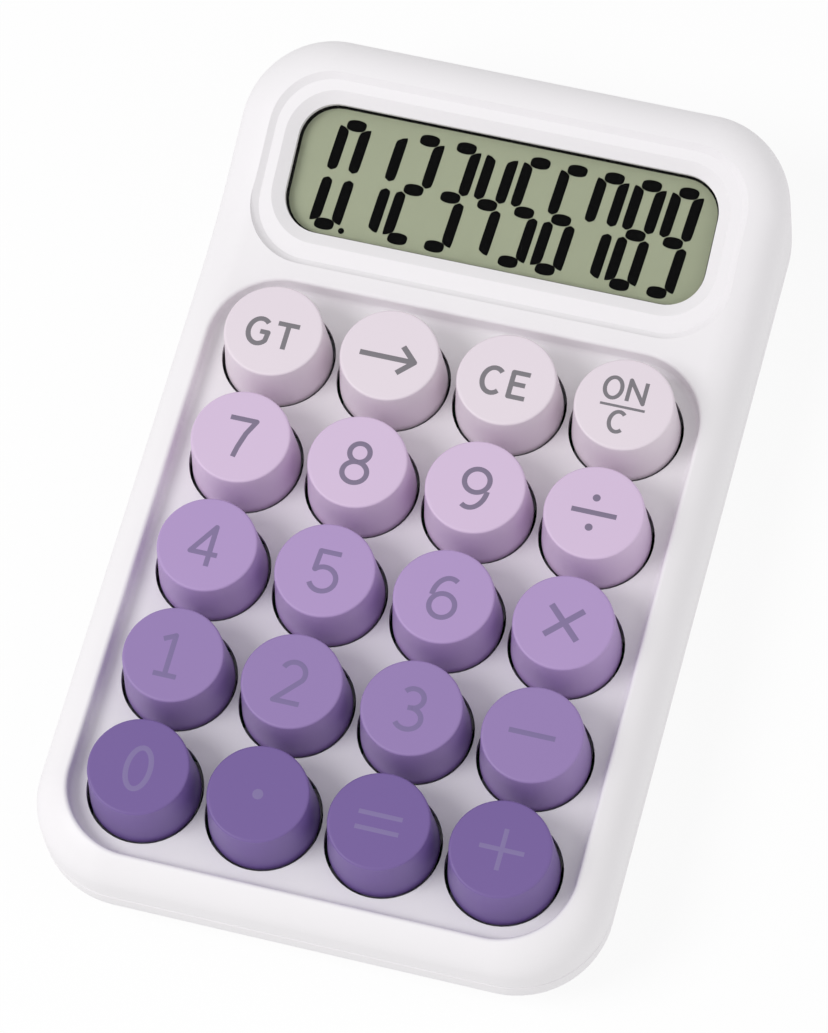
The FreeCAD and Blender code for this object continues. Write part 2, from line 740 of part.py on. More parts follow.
def top_case():
    """The upper shell: key well, key holes, tilted deck, display surround and screw bosses."""
    outer = case_block("top_outer", "0", "deck_height", "fold_y", "top_edge_radius")
    bevel_seam(outer, outer.Tip)
    well = plane_sketch(outer, "well_plan", "rear_top")
    rounded_rectangle(well, "well_half_width", "well_half_length", "hole_radius + well_side_margin",
                      "field_y")
    sunk = sink_pocket(outer, well, "rear_top - well_bottom")
    half_width, half_length = number("well_half_width"), number("well_half_length")
    top, bottom, middle = number("deck_height"), number("well_bottom"), number("field_y")

    def round_well(edge):
        box = edge.BoundBox
        across = max(abs(box.XMin), abs(box.XMax)) < half_width + SAME
        along = max(abs(box.YMin - middle), abs(box.YMax - middle)) < half_length + SAME
        return across and along

    def on_well_rim(edge):
        box = edge.BoundBox
        return round_well(edge) and box.ZMin > (top + bottom) / 2 and box.ZMax < number("key_top")

    rim = round_edges(outer, sunk, on_well_rim, "well_rim_radius")
    round_edges(outer, rim, lambda edge: round_well(edge) and is_level(edge, bottom), "well_foot_radius")
    hole = plane_sketch(outer, "key_hole", "well_bottom")
    discs(hole, "hole_radius", [("-key_span_x", "field_y - key_span_y")])
    first = sink_pocket(outer, hole, "well_floor + case_wall")
    grid(outer, first, hole)

    surround = deck_sketch(outer, "surround_rim")
    rounded_rectangle(surround, "surround_width / 2", "surround_length / 2", "surround_corner")
    sink_pocket(outer, surround, "deck_plate", up=True)
    ledge = deck_sketch(outer, "surround_floor", "surround_depth")
    rounded_rectangle(ledge, "surround_width / 2 - surround_slope", "surround_length / 2 - surround_slope",
                      "surround_corner - surround_slope")
    loft_down(outer, "surround_recess", surround, ledge)
    bowl = deck_sketch(outer, "bowl_rim", "surround_depth")
    rounded_rectangle(bowl, "window_width / 2 + bowl_slope", "window_length / 2 + bowl_slope",
                      "window_corner + bowl_slope", "window_shift")
    window = deck_sketch(outer, "window_rim", "window_depth")
    rounded_rectangle(window, "window_width / 2", "window_length / 2", "window_corner", "window_shift")
    loft_down(outer, "window_bowl", bowl, window)
    sink_pocket(outer, window, "deck_plate")

    core = case_block("top_core", "case_wall", "floor_bottom", "inner_fold_y", "inner_edge_radius")
    rebate = body("lip_rebate")
    rebate_plan = plane_sketch(rebate, "rebate_plan", "parting_height")
    rounded_rectangle(rebate_plan, "case_half_width - lip_inset", "case_half_length - lip_inset",
                      "corner_radius - lip_inset")
    raise_pad(rebate, rebate_plan, "lip_height + lip_gap")
    added = [cut("top_shell", outer, joined("top_room", [core, rebate]))]
    holes = []
    for i, place in enumerate(case_screw_places()):
        on_field = i < 4
        crown = "floor_bottom + root_depth"
        if not on_field:
            crown = f"deck_height + ({place[1]} - fold_y) * rise - plate_drop"
        added.append(post(f"top_boss_{i}", "boss_radius", place, ("boss_joint_height", crown)))
        depth = ("boss_joint_height - cut_past", "boss_joint_height + screw_grip + pilot_room")
        holes.append(post(f"pilot_{i}", "screw_radius + pilot_gap", place, depth))
    for i, place in enumerate(display_screw_places()):
        drops = ("deck_plate - root_depth", "stack_depth")
        added.append(deck_post(f"display_post_{i}", "small_post_radius", place, drops))
        reach = "small_screw_grip + board_thickness - display_board_thickness + pilot_room"
        depth = (f"stack_depth - ({reach})", "stack_depth + cut_past")
        holes.append(deck_post(f"display_pilot_{i}", "small_screw_radius + pilot_gap", place, depth))
    case = cut("top_case", joined("top_solid", added), joined("top_holes", holes))
    case.Label = "top_case"
    return case


def bottom_shell():
    """The lower tray with drafted sides and rounded lower edges."""
    tray = body("bottom_shell")
    plan = plane_sketch(tray, "tray_plan", "parting_height")
    rounded_rectangle(plan, "case_half_width", "case_half_length", "corner_radius")
    pad = raise_pad(tray, plan, "parting_height - foot_stand", down=True, taper="-case_draft")
    ground = number("foot_stand")
    rounded = round_edges(tray, pad, lambda edge: is_level(edge, ground), "bottom_edge_radius")
    bevel_seam(tray, rounded)
    lip = plane_sketch(tray, "tray_lip", "parting_height")
    inset = "lip_inset + lip_gap"
    rounded_rectangle(lip, f"case_half_width - ({inset})", f"case_half_length - ({inset})",
                      f"corner_radius - ({inset})")
    raise_pad(tray, lip, "lip_height")
    room = plane_sketch(tray, "tray_room", "parting_height + lip_height")
    rounded_rectangle(room, "inner_half_width", "inner_half_length", "corner_radius - case_wall")
    hollow = sink_pocket(tray, room, "parting_height + lip_height - floor_top")
    bind(hollow, "TaperAngle", "-case_draft")
    floor = number("floor_top")
    round_edges(tray, hollow, lambda edge: is_level(edge, floor), "tray_room_radius")
    return tray


def bottom_case(shell):
    """The lower shell: battery bay, screw bosses, board posts, foot seats and the door's opening."""
    bay_outer = block("bay_outer", both_sides("bay_half_width + bay_wall"),
                      ("door_front - bay_wall", "battery_y + bay_half_length + bay_wall"),
                      ("floor_top - root_depth", "bay_top + bay_wall"))
    door_sides = both_sides("door_half_width + door_gap")
    past_rear = "case_half_length + cut_past"
    added = [shell, bay_outer]
    removed = [
        block("bay_room", both_sides("bay_half_width"), ("door_front", "battery_y + bay_half_length"),
              ("floor_top", "bay_top")),
        block("door_opening", door_sides, ("door_front - door_gap", past_rear),
              ("0", "floor_top + door_gap")),
        block("lip_opening", door_sides, ("inner_half_length - case_wall", past_rear),
              ("floor_top", "door_lip_height + door_gap")),
        block("tongue_groove", both_sides("door_half_width + tongue_width + door_gap"),
              ("door_front - door_gap", "tongue_rear + door_travel + door_gap"),
              ("tongue_bottom - slide_gap", "floor_top")),
        block("tab_slots", both_sides("bay_half_width + bay_wall + cut_past"),
              ("tab_front - slide_gap", "tab_front + tab_width + slide_gap"),
              ("battery_z - tab_height / 2 - slide_gap", "battery_z + tab_height / 2 + slide_gap")),
    ]
    for i, place in enumerate(case_screw_places()):
        rises = ("floor_top - root_depth", "boss_joint_height")
        added.append(post(f"bottom_boss_{i}", "boss_radius", place, rises))
        rises = ("0", "boss_joint_height + cut_past")
        removed.append(post(f"screw_hole_{i}", "screw_radius + screw_gap", place, rises))
        removed.append(post(f"screw_seat_{i}", "screw_head_radius + screw_gap", place, ("0", "screw_seat")))
    for i, place in enumerate(board_screw_places()):
        rises = ("floor_top - root_depth", "board_bottom")
        added.append(post(f"board_post_{i}", "small_post_radius", place, rises))
        rises = ("board_bottom - small_screw_grip - pilot_room", "board_bottom + cut_past")
        removed.append(post(f"board_pilot_{i}", "small_screw_radius + pilot_gap", place, rises))
    for i, place in enumerate(foot_places()):
        rises = ("0", "foot_stand + foot_sink")
        removed.append(post(f"foot_seat_{i}", "foot_radius + slide_gap", place, rises))
    case = cut("bottom_case", joined("bottom_solid", added), joined("bottom_room", removed))
    case.Label = "bottom_case"
    return case


def foot_places():
    for x in both_sides("foot_x"):
        for y in both_sides("foot_y"):
            yield x, y


def battery_door(shell):
    """The sliding part of the lower shell: a thumb grip below and a tongue in a groove on each side."""
    past_rear = "case_half_length + cut_past"
    zone = joined("door_zone", [
        block("door_floor", both_sides("door_half_width"), ("door_front", past_rear), ("0", "floor_top")),
        block("door_lip", both_sides("door_half_width"),
              ("inner_half_length - case_wall + door_gap", past_rear), ("0", "door_lip_height")),
    ])
    plate = doc.addObject("Part::MultiCommon", "door_plate")
    plate.Shapes = [shell, zone]
    tongue = block("door_tongue", both_sides("door_half_width + tongue_width"),
                   ("tongue_front", "tongue_rear"), ("tongue_bottom", "floor_top - slide_gap"))
    grip = body("door_grip")
    grip_plan = plane_sketch(grip, "grip_plan", "foot_stand + grip_depth")
    rounded_rectangle(grip_plan, "grip_width / 2", "grip_length / 2", "grip_length / 2.5", "grip_y")
    raise_pad(grip, grip_plan, "grip_depth + cut_past", down=True)
    door = cut("battery_door", joined("door_solid", [plate, tongue]), grip)
    door.Label = "battery_door"
    return door


def plate_under_deck(name, half_width, half_length, corner, drop_range):
    """A flat piece parallel to the display deck, centred on the window."""
    piece = body(name)
    upper, lower = drop_range
    plan = deck_sketch(piece, name + "_plan", upper)
    rounded_rectangle(plan, half_width, half_length, corner, "window_shift")
    raise_pad(piece, plan, f"({lower}) - ({upper})", down=True)
    return piece


def display_parts():
    """The lens, the glass panel, its frame, the zebra strips and the display board."""
    half_width = "window_width / 2 + lens_lap"
    half_length = "window_length / 2 + lens_lap"
    panel_top = "deck_plate + lens_thickness"
    zebra_top = f"{panel_top} + panel_thickness"
    plate_under_deck("display_lens", half_width, half_length, "glass_corner", ("deck_plate", panel_top))
    plate_under_deck("lcd_panel", f"{half_width} - slide_gap", f"{half_length} - slide_gap", "glass_corner",
                     (panel_top, zebra_top))

    holder = plate_under_deck("lcd_holder", f"{half_width} + slide_gap + frame_wall",
                              f"{half_length} + slide_gap + frame_wall", "glass_corner + frame_wall",
                              ("deck_plate", "stack_depth"))
    inside = deck_sketch(holder, "holder_inside", "deck_plate")
    rounded_rectangle(inside, f"{half_width} + slide_gap", f"{half_length} + slide_gap", "glass_corner",
                      "window_shift")
    sink_pocket(holder, inside, "stack_depth")

    strips = plate_under_deck("zebra_strips", f"{half_width} - zebra_width", f"{half_length} - slide_gap",
                              "glass_corner", (zebra_top, "stack_depth"))
    between = deck_sketch(strips, "zebra_gap", zebra_top)
    rounded_rectangle(between, half_width, f"{half_length} - slide_gap - zebra_width", "glass_corner",
                      "window_shift")
    sink_pocket(strips, between, "stack_depth")

    board = plate_under_deck("display_board", "display_post_x + small_post_radius", half_length,
                             "glass_corner", ("stack_depth", "stack_depth + display_board_thickness"))
    holes = deck_sketch(board, "display_board_holes", "stack_depth")
    discs(holes, "small_screw_radius + screw_gap", list(display_screw_places()))
    sink_pocket(board, holes, "2 * display_board_thickness")


def main_board():
    """The circuit board under the switches, with a hole for each locating peg and each screw."""
    board = body("main_board")
    plan = plane_sketch(board, "board_plan", "board_bottom")
    outline(plan, [
        ("-board_half_width", "board_front"),
        ("board_half_width", "board_front"),
        ("board_half_width", "board_rear"),
        ("-board_half_width", "board_rear"),
    ])
    raise_pad(board, plan, "board_thickness")
    screws = plane_sketch(board, "board_screw_holes", "board_top")
    discs(screws, "small_screw_radius + screw_gap", list(board_screw_places()))
    sink_pocket(board, screws, "2 * board_thickness")
    peg = plane_sketch(board, "peg_hole", "board_top")
    discs(peg, "switch_peg_radius + slide_gap", [("-key_span_x", "field_y - key_span_y")])
    first = sink_pocket(board, peg, "2 * board_thickness")
    grid(board, first, peg)
    return board


def screw(name, head_radius, head_height, shank_radius, shank_length):
    """A cheese-head screw with its head above the origin and its shank below."""
    fastener = body(name)
    profile = sketch_on(fastener, name + "_profile", "XZ_Plane")
    outline(profile, [
        ("0", f"-({shank_length})"),
        (shank_radius, f"-({shank_length})"),
        (shank_radius, "0"),
        (head_radius, "0"),
        (head_radius, head_height),
        ("0", head_height),
    ])
    turn_profile(fastener, profile, "V_Axis")
    return fastener


def feet():
    """Four round rubber feet, each sunk a little into its seat."""
    foot = body("foot_unit")
    profile = sketch_on(foot, "foot_profile", "XZ_Plane")
    outline(profile, [
        ("0", "0"),
        ("foot_radius - foot_chamfer", "0"),
        ("foot_radius", "foot_chamfer"),
        ("foot_radius", "foot_stand + foot_sink"),
        ("0", "foot_stand + foot_sink"),
    ])
    turn_profile(foot, profile, "V_Axis")
    return foot


def battery():
    """An AAA cell across the case, with its raised terminal on the right."""
    cell = body("battery")
    profile = sketch_on(cell, "battery_profile", "XZ_Plane")
    half = "battery_length / 2"
    outline(profile, [
        (f"-{half}", "0"),
        (f"{half}", "0"),
        (f"{half}", "terminal_radius"),
        (f"{half} - terminal_height", "terminal_radius"),
        (f"{half} - terminal_height", "battery_radius"),
        (f"-{half}", "battery_radius"),
    ])
    turn_profile(cell, profile, "H_Axis")
    for axis, text in (("y", "battery_y"), ("z", "battery_z")):
        bind(cell, f"Placement.Base.{axis}", text)
    return cell


def contact():
    """The right-hand contact: a plate on the bay's end wall, a raised button and a soldering tab."""
    limits = ("bay_half_width - contact_thickness", "bay_half_width")
    plate = block("contact_plate", limits, ("battery_y - contact_width / 2", "battery_y + contact_width / 2"),
                  ("floor_top + 2 * door_gap", "bay_top - door_gap"))
    tab = block("contact_tab", ("bay_half_width - contact_thickness", "tab_end"),
                ("tab_front", "tab_front + tab_width"),
                ("battery_z - tab_height / 2", "battery_z + tab_height / 2"))
    button = doc.addObject("Part::Cylinder", "contact_button")
    button.Placement = Placement(Vector(), Rotation(Vector(0, 1, 0), 90))
    bind(button, "Radius", "terminal_radius + button_rim")
    bind(button, "Height", "bay_half_width - contact_thickness / 2 - battery_length / 2 - slide_gap")
    for axis, text in (("x", "battery_length / 2 + slide_gap"), ("y", "battery_y"), ("z", "battery_z")):
        bind(button, f"Placement.Base.{axis}", text)
    return joined("contact_unit", [plate, tab, button])


def bent_path(corners):
    """Straight runs joined by tangent arcs, each as large as its two runs allow."""
    edges = []
    start = corners[0]
    for before, corner, after in zip(corners, corners[1:], corners[2:]):
        back, ahead = before - corner, after - corner
        half_turn = (math.pi - back.getAngle(ahead)) / 2
        reach = 0.45 * min(back.Length, ahead.Length)
        back.normalize()
        ahead.normalize()
        first, last = corner + back * reach, corner + ahead * reach
        inward = (back + ahead).normalize()
        radius = reach / math.tan(half_turn)
        middle = corner + inward * (radius / math.cos(half_turn) - radius)
        edges.append(Part.LineSegment(start, first).toShape())
        edges.append(Part.Arc(first, middle, last).toShape())
        start = last
    edges.append(Part.LineSegment(start, corners[-1]).toShape())
    return Part.Wire(edges)


def deck_point(along, drop):
    """A point in the middle plane, from its distance along the deck and its depth below the deck."""
    tilt = math.radians(number("display_tilt"))
    y = number("fold_y") + along * math.cos(tilt) + drop * math.sin(tilt)
    z = number("deck_height") + along * math.sin(tilt) - drop * math.cos(tilt)
    return Vector(0, y, z)


def ribbon_cable():
    """The flat cable that joins the two boards, lying on one and under the other."""
    half = number("ribbon_thickness") / 2 + number("ribbon_gap")
    level = number("board_top") + half
    rear = number("board_rear")
    drop = number("stack_depth") + number("display_board_thickness") + half
    tilt = math.radians(number("display_tilt"))
    front_of_board = (number("surround_y") - number("fold_y")) / math.cos(tilt)
    front_of_board += number("window_shift") - number("lens_length") / 2
    corners = [
        Vector(0, rear - number("ribbon_lap"), level),
        Vector(0, rear + number("ribbon_bow"), level),
        deck_point(front_of_board - number("ribbon_bow") / 2, drop),
        deck_point(front_of_board + number("ribbon_lap"), drop),
    ]
    path = bent_path(corners)
    width, thickness = number("ribbon_width"), number("ribbon_thickness")
    section = [Vector(x * width / 2, corners[0].y, level + z * thickness / 2)
               for x, z in ((-1, -1), (1, -1), (1, 1), (-1, 1), (-1, -1))]
    cable = doc.addObject("Part::Feature", "ribbon_cable")
    cable.Label = "ribbon_cable"
    cable.Shape = path.makePipeShell([Part.makePolygon(section)], True, False)
    return cable


def battery_leads():
    """Two wires from the contact tabs over the lower shell to the main board."""
    radius = number("lead_radius")
    height = number("battery_z")
    level = number("lead_level")
    tab_x = number("tab_end") - radius
    landing = number("board_rear") - number("ribbon_bow")
    start = Vector(tab_x, number("tab_front"), height)
    corners = [
        start,
        Vector(tab_x, landing + number("ribbon_lap"), level),
        Vector(tab_x - number("ribbon_bow"), landing, level + number("lead_rise")),
        Vector(tab_x - number("ribbon_bow"), landing, number("board_top")),
    ]
    path = bent_path(corners)
    circle = Part.Circle(start, corners[1] - start, radius)
    right = path.makePipeShell([Part.Wire(circle.toShape())], True, False)
    left = right.mirror(Vector(), Vector(1, 0, 0))
    leads = doc.addObject("Part::Feature", "battery_leads")
    leads.Label = "battery_leads"
    leads.Shape = Part.makeCompound([right, left])
    return leads


def calculator_chip():
    """The processor on the tail of the main board."""
    rear = "board_rear - ribbon_lap - chip_gap"
    chip = block("calculator_chip", both_sides("chip_width / 2"), (f"{rear} - chip_length", rear),
                 ("board_top", "board_top + chip_height"))
    chip.Label = "calculator_chip"
    return chip


def upright(x, y, z):
    return Placement(Vector(x, y, z), Rotation())


def build():
    """Make every node of the calculator."""
    caps = []
    for row, column, x, y in key_places():
        key = KEY_NAMES[row][column]
        cap = keycap("keycap_" + key)
        slider = stem("stem_" + key)
        for piece in (cap, slider):
            place_body(piece, x, y)
        caps.append(cap)
    units = {"switch_bases": switch_base(), "switch_tops": switch_top(), "switch_springs": switch_spring()}
    doc.recompute()
    places = [upright(cap.Placement.Base.x, cap.Placement.Base.y, 0) for cap in caps]
    for name, unit in units.items():
        copies(name, unit, places)

    main_board()
    calculator_chip()
    display_parts()
    top_case()
    shell = bottom_shell()
    bottom_case(shell)
    battery_door(shell)
    battery()

    case_screw = screw("case_screw_unit", "screw_head_radius", "screw_head_height", "screw_radius",
                       "boss_joint_height + screw_grip - screw_seat")
    small_screw = screw("small_screw_unit", "small_head_radius", "small_head_height", "small_screw_radius",
                        "small_screw_grip + board_thickness")
    foot = feet()
    right_contact = contact()
    doc.recompute()
    upside_down = Rotation(Vector(1, 0, 0), 180)
    seat = number("screw_seat")
    rows = [number("field_y") - 1.5 * number("key_pitch"), number("field_y") + 1.5 * number("key_pitch")]
    places = [Vector(x * number("boss_x"), y, seat) for x in (-1, 1) for y in rows]
    places += [Vector(x * number("rear_boss_x"), number("rear_boss_y"), seat) for x in (-1, 1)]
    copies("case_screws", case_screw, [Placement(place, upside_down) for place in places])
    rows.append(number("board_rear") - number("board_screw_inset"))
    top = number("board_top")
    small = [upright(x * number("key_pitch"), y, top) for x in (-1, 1) for y in rows]
    tilt = number("display_tilt")
    drop = number("stack_depth") + number("display_board_thickness")
    middle = (number("surround_y") - number("fold_y")) / math.cos(math.radians(tilt)) + number("window_shift")
    for along in (-1, 1):
        spot = deck_point(middle + along * number("display_post_y"), drop)
        for side in (-1, 1):
            spot.x = side * number("display_post_x")
            small.append(Placement(spot, Rotation(Vector(1, 0, 0), 180 + tilt)))
    copies("board_screws", small_screw, small)
    foot_x, foot_y = number("foot_x"), number("foot_y")
    copies("feet", foot, [upright(x * foot_x, y * foot_y, 0) for x in (-1, 1) for y in (-1, 1)])
    pair = doc.addObject("Part::Feature", "battery_contacts")
    pair.Label = "battery_contacts"
    left_contact = right_contact.Shape.mirror(Vector(), Vector(1, 0, 0))
    pair.Shape = Part.makeCompound([right_contact.Shape, left_contact])
    ribbon_cable()
    battery_leads()
    doc.recompute()


NODES = [f"{kind}_{key}" for kind in ("keycap", "stem") for row in KEY_NAMES for key in row] + [
    "switch_bases", "switch_tops", "switch_springs", "main_board", "calculator_chip", "board_screws",
    "top_case", "bottom_case", "case_screws", "feet", "display_lens", "lcd_panel", "lcd_holder",
    "zebra_strips", "display_board", "ribbon_cable", "battery_leads", "battery", "battery_contacts",
    "battery_door",
]


def write_parts():
    """Check every object and write each node to its own file."""
    for thing in doc.Objects:
        if "Invalid" in thing.State or "Error" in thing.State:
            raise RuntimeError(f"{thing.Name} could not be built: {thing.State}")
    by_label = {thing.Label: thing for thing in doc.Objects if hasattr(thing, "Shape")}
    for name in NODES:
        shape = by_label[name].Shape
        if shape.isNull() or not shape.isValid() or not shape.Solids:
            raise RuntimeError(f"{name} has no valid solid")
    os.makedirs("parts", exist_ok=True)
    for name in NODES:
        by_label[name].Shape.exportStep(f"parts/{name}.step")


build()
write_parts()
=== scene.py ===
import json
import math

import bmesh
import bpy
from mathutils import Matrix, Vector

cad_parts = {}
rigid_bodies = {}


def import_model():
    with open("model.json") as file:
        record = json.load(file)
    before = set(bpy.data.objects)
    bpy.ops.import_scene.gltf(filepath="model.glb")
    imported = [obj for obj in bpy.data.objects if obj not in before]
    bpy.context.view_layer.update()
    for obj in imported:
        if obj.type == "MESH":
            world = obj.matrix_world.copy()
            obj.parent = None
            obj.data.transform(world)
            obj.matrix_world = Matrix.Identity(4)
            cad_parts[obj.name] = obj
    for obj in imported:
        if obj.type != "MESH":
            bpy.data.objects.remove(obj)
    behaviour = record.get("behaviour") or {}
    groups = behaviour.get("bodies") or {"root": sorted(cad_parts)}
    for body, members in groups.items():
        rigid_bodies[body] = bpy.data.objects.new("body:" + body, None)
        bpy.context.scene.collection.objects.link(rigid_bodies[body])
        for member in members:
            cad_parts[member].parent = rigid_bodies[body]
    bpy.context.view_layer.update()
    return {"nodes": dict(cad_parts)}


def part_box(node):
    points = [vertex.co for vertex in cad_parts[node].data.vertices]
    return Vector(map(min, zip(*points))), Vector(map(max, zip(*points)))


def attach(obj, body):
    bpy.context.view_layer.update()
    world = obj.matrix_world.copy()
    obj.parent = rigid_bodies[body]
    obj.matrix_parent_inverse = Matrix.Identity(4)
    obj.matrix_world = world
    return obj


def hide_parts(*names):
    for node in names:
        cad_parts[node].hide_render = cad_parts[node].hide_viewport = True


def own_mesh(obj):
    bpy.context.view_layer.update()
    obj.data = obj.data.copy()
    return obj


bl_info = {
    "name": "Desk Calculator",
    "version": (1, 0, 0),
    "blender": (4, 5, 0),
    "location": "3D View > Sidebar > Calculator",
    "description": "Dresses the frame of a desk calculator with round mechanical keys",
    "category": "Object",
}

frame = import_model()

# Lengths are in metres. MM turns the drawing's millimetres into them.
MM = 0.001

# Keys, from the row at the display to the row at the front
KEY_ROWS = [
    ["gt", "arrow", "ce", "on_c"],
    ["7", "8", "9", "divide"],
    ["4", "5", "6", "multiply"],
    ["1", "2", "3", "minus"],
    ["0", "point", "equals", "plus"],
]
KEYS = [key for keys in KEY_ROWS for key in keys]

# The display deck leans by this angle. Depths are measured square to it.
DISPLAY_TILT = math.radians(18)
LENS_TOP = 3.2 * MM
LENS_GAP = 0.05 * MM
PANEL_TOP = 4.4 * MM
PANEL_THICKNESS = 2.0 * MM
BOARD_UNDERSIDE = 9.0 * MM
READOUT_THICKNESS = 0.02 * MM
# The window's border is painted shade: a dark ring in the segments' colour that stands in for the
# shadow at the window's edge.
BORDER_UNDERSIDE = 0.005 * MM
BORDER_THICKNESS = 0.035 * MM

# Half the width, half the length and the corner of outlines on the deck
WINDOW_OUTLINE = (36.0 * MM, 11.875 * MM, 0.6 * MM)
BORDER_OUTSIDE = (35.6 * MM, 11.5 * MM, 7.0 * MM)
BORDER_INSIDE = (34.45 * MM, 10.35 * MM, 5.85 * MM)

# Facets of a packed node meet within this distance
JOIN_DISTANCE = 1e-6
# Smooth shading of a packed node stops at edges sharper than this
NODE_CREASE = math.radians(30)


# ---- meshes


def linked(name, data):
    """A new object in the scene."""
    thing = bpy.data.objects.new(name, data)
    bpy.context.scene.collection.objects.link(thing)
    return thing


def piece(name, mesh, body, stands_for=()):
    """An object of the finished model that rides on a body of the frame."""
    thing = linked(name, mesh)
    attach(thing, body)
    if stands_for:
        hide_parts(*stands_for)
    return thing


def plain_mesh(thing):
    """The mesh that an object's curves or modifiers give. The object is removed."""
    graph = bpy.context.evaluated_depsgraph_get()
    mesh = bpy.data.meshes.new_from_object(thing.evaluated_get(graph), depsgraph=graph)
    source = thing.data
    bpy.data.objects.remove(thing)
    if source.users == 0:
        bpy.data.batch_remove([source])
    return mesh


def painted(mesh, material):
    """A mesh with its material."""
    mesh.materials.append(material)
    return mesh


def joined_shape(mesh):
    """A mesh opened for changes, in which vertices at one place are one."""
    shape = bmesh.new()
    shape.from_mesh(mesh)
    bmesh.ops.remove_doubles(shape, verts=shape.verts, dist=JOIN_DISTANCE)
    return shape


def soften(shape, crease):
    """Smooth shading that stops at edges sharper than the crease angle."""
    for face in shape.faces:
        face.smooth = True
    for edge in shape.edges:
        edge.smooth = edge.is_manifold and edge.calc_face_angle(0) < crease


def finished(shape, name, crease=None):
    """The mesh of a new shape, with its faces turned outwards."""
    bmesh.ops.recalc_face_normals(shape, faces=shape.faces)
    if crease:
        soften(shape, crease)
    mesh = bpy.data.meshes.new(name)
    shape.to_mesh(mesh)
    shape.free()
    return mesh


def joined_copy(node, name):
    """A smoothly shaded mesh of a packed node, with its loose facets joined."""
    source = frame["nodes"][node].data
    mesh = bpy.data.meshes.new(name)
    corners = [vertex.co[:] for vertex in source.vertices]
    mesh.from_pydata(corners, [], [polygon.vertices[:] for polygon in source.polygons])
    shape = joined_shape(mesh)
    soften(shape, NODE_CREASE)
    shape.to_mesh(mesh)
    shape.free()
    thing = linked(name, mesh)
    thing.modifiers.new("Weighted normals", "WEIGHTED_NORMAL").keep_sharp = True
    return plain_mesh(thing)


def dress(node, name, body, material):
    """A finished copy of a packed node in its place."""
    return piece(name, painted(joined_copy(node, name), material), body, [node])


def prisms(name, outlines, low, high):
    """Upright prisms on flat outlines, as one mesh."""
    shape = bmesh.new()
    for outline in outlines:
        floor = shape.faces.new([shape.verts.new((x, y, low)) for x, y in outline])
        raised = bmesh.ops.extrude_face_region(shape, geom=[floor])
        upper = [item for item in raised["geom"] if isinstance(item, bmesh.types.BMVert)]
        bmesh.ops.translate(shape, verts=upper, vec=(0, 0, high - low))
    return finished(shape, name)


def round_outline(half_width, half_length, corner, steps=8):
    """The corners of a rectangle with round corners, anticlockwise."""
    points = []
    for quarter, (x, y) in enumerate([(1, 1), (-1, 1), (-1, -1), (1, -1)]):
        hub = (x * (half_width - corner), y * (half_length - corner))
        for step in range(steps + 1):
            turn = math.radians(90) * (quarter + step / steps)
            points.append((hub[0] + corner * math.cos(turn), hub[1] + corner * math.sin(turn)))
    return points


def above(low, high, level):
    """The point at a level over the middle of a box."""
    return Vector((*(low + high).xy / 2, level))


def cap_place(key):
    """The middle of a key's top face."""
    low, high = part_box("keycap_" + key)
    return above(low, high, high.z)


def deck_matrix():
    """From the window's own axes to the row frame: across, up the slope, and out of the deck."""
    low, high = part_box("lcd_panel")
    lean = Matrix.Rotation(DISPLAY_TILT, 4, "X")
    up_to_deck = Matrix.Translation((0, 0, PANEL_TOP + PANEL_THICKNESS / 2))
    return Matrix.Translation((low + high) / 2) @ lean @ up_to_deck


# ---- materials


def linear(colour):
    """A colour as shaders take it, from the value that a colour picker shows."""
    parts = [((c + 0.055) / 1.055) ** 2.4 if c > 0.04045 else c / 12.92 for c in colour]
    return (*parts, 1.0)


def place(tree, kind, where, inputs=None, **settings):
    """A node at a place in its tree, with its settings made and its inputs set or linked."""
    made = tree.nodes.new(kind)
    made.location = where
    for name, value in settings.items():
        setattr(made, name, value)
    for name, value in (inputs or {}).items():
        if isinstance(value, bpy.types.NodeSocket):
            tree.links.new(value, made.inputs[name])
        else:
            made.inputs[name].default_value = value
    return made


def calculated(tree, where, operation, *values):
    """The result of a Math node on numbers or sockets."""
    inputs = dict(enumerate(values))
    return place(tree, "ShaderNodeMath", where, inputs, operation=operation).outputs[0]


def mixed(tree, where, share_of_second, first, second):
    """Two shaders mixed in one."""
    inputs = {0: share_of_second, 1: first, 2: second}
    return place(tree, "ShaderNodeMixShader", where, inputs).outputs[0]


def chosen_colour(tree, where, share_of_second, first, second):
    """One of two colours, or a blend of them."""
    inputs = {0: share_of_second, 1: first, 2: second}
    return place(tree, "ShaderNodeMixRGB", where, inputs).outputs[0]


def add_sockets(group, direction, sockets):
    """Sockets of a node group, each with its name, its kind and, if it has one, its default."""
    for name, kind, *default in sockets:
        kind = "NodeSocket" + kind
        socket = group.interface.new_socket(name, in_out=direction, socket_type=kind)
        if default:
            socket.default_value = default[0]


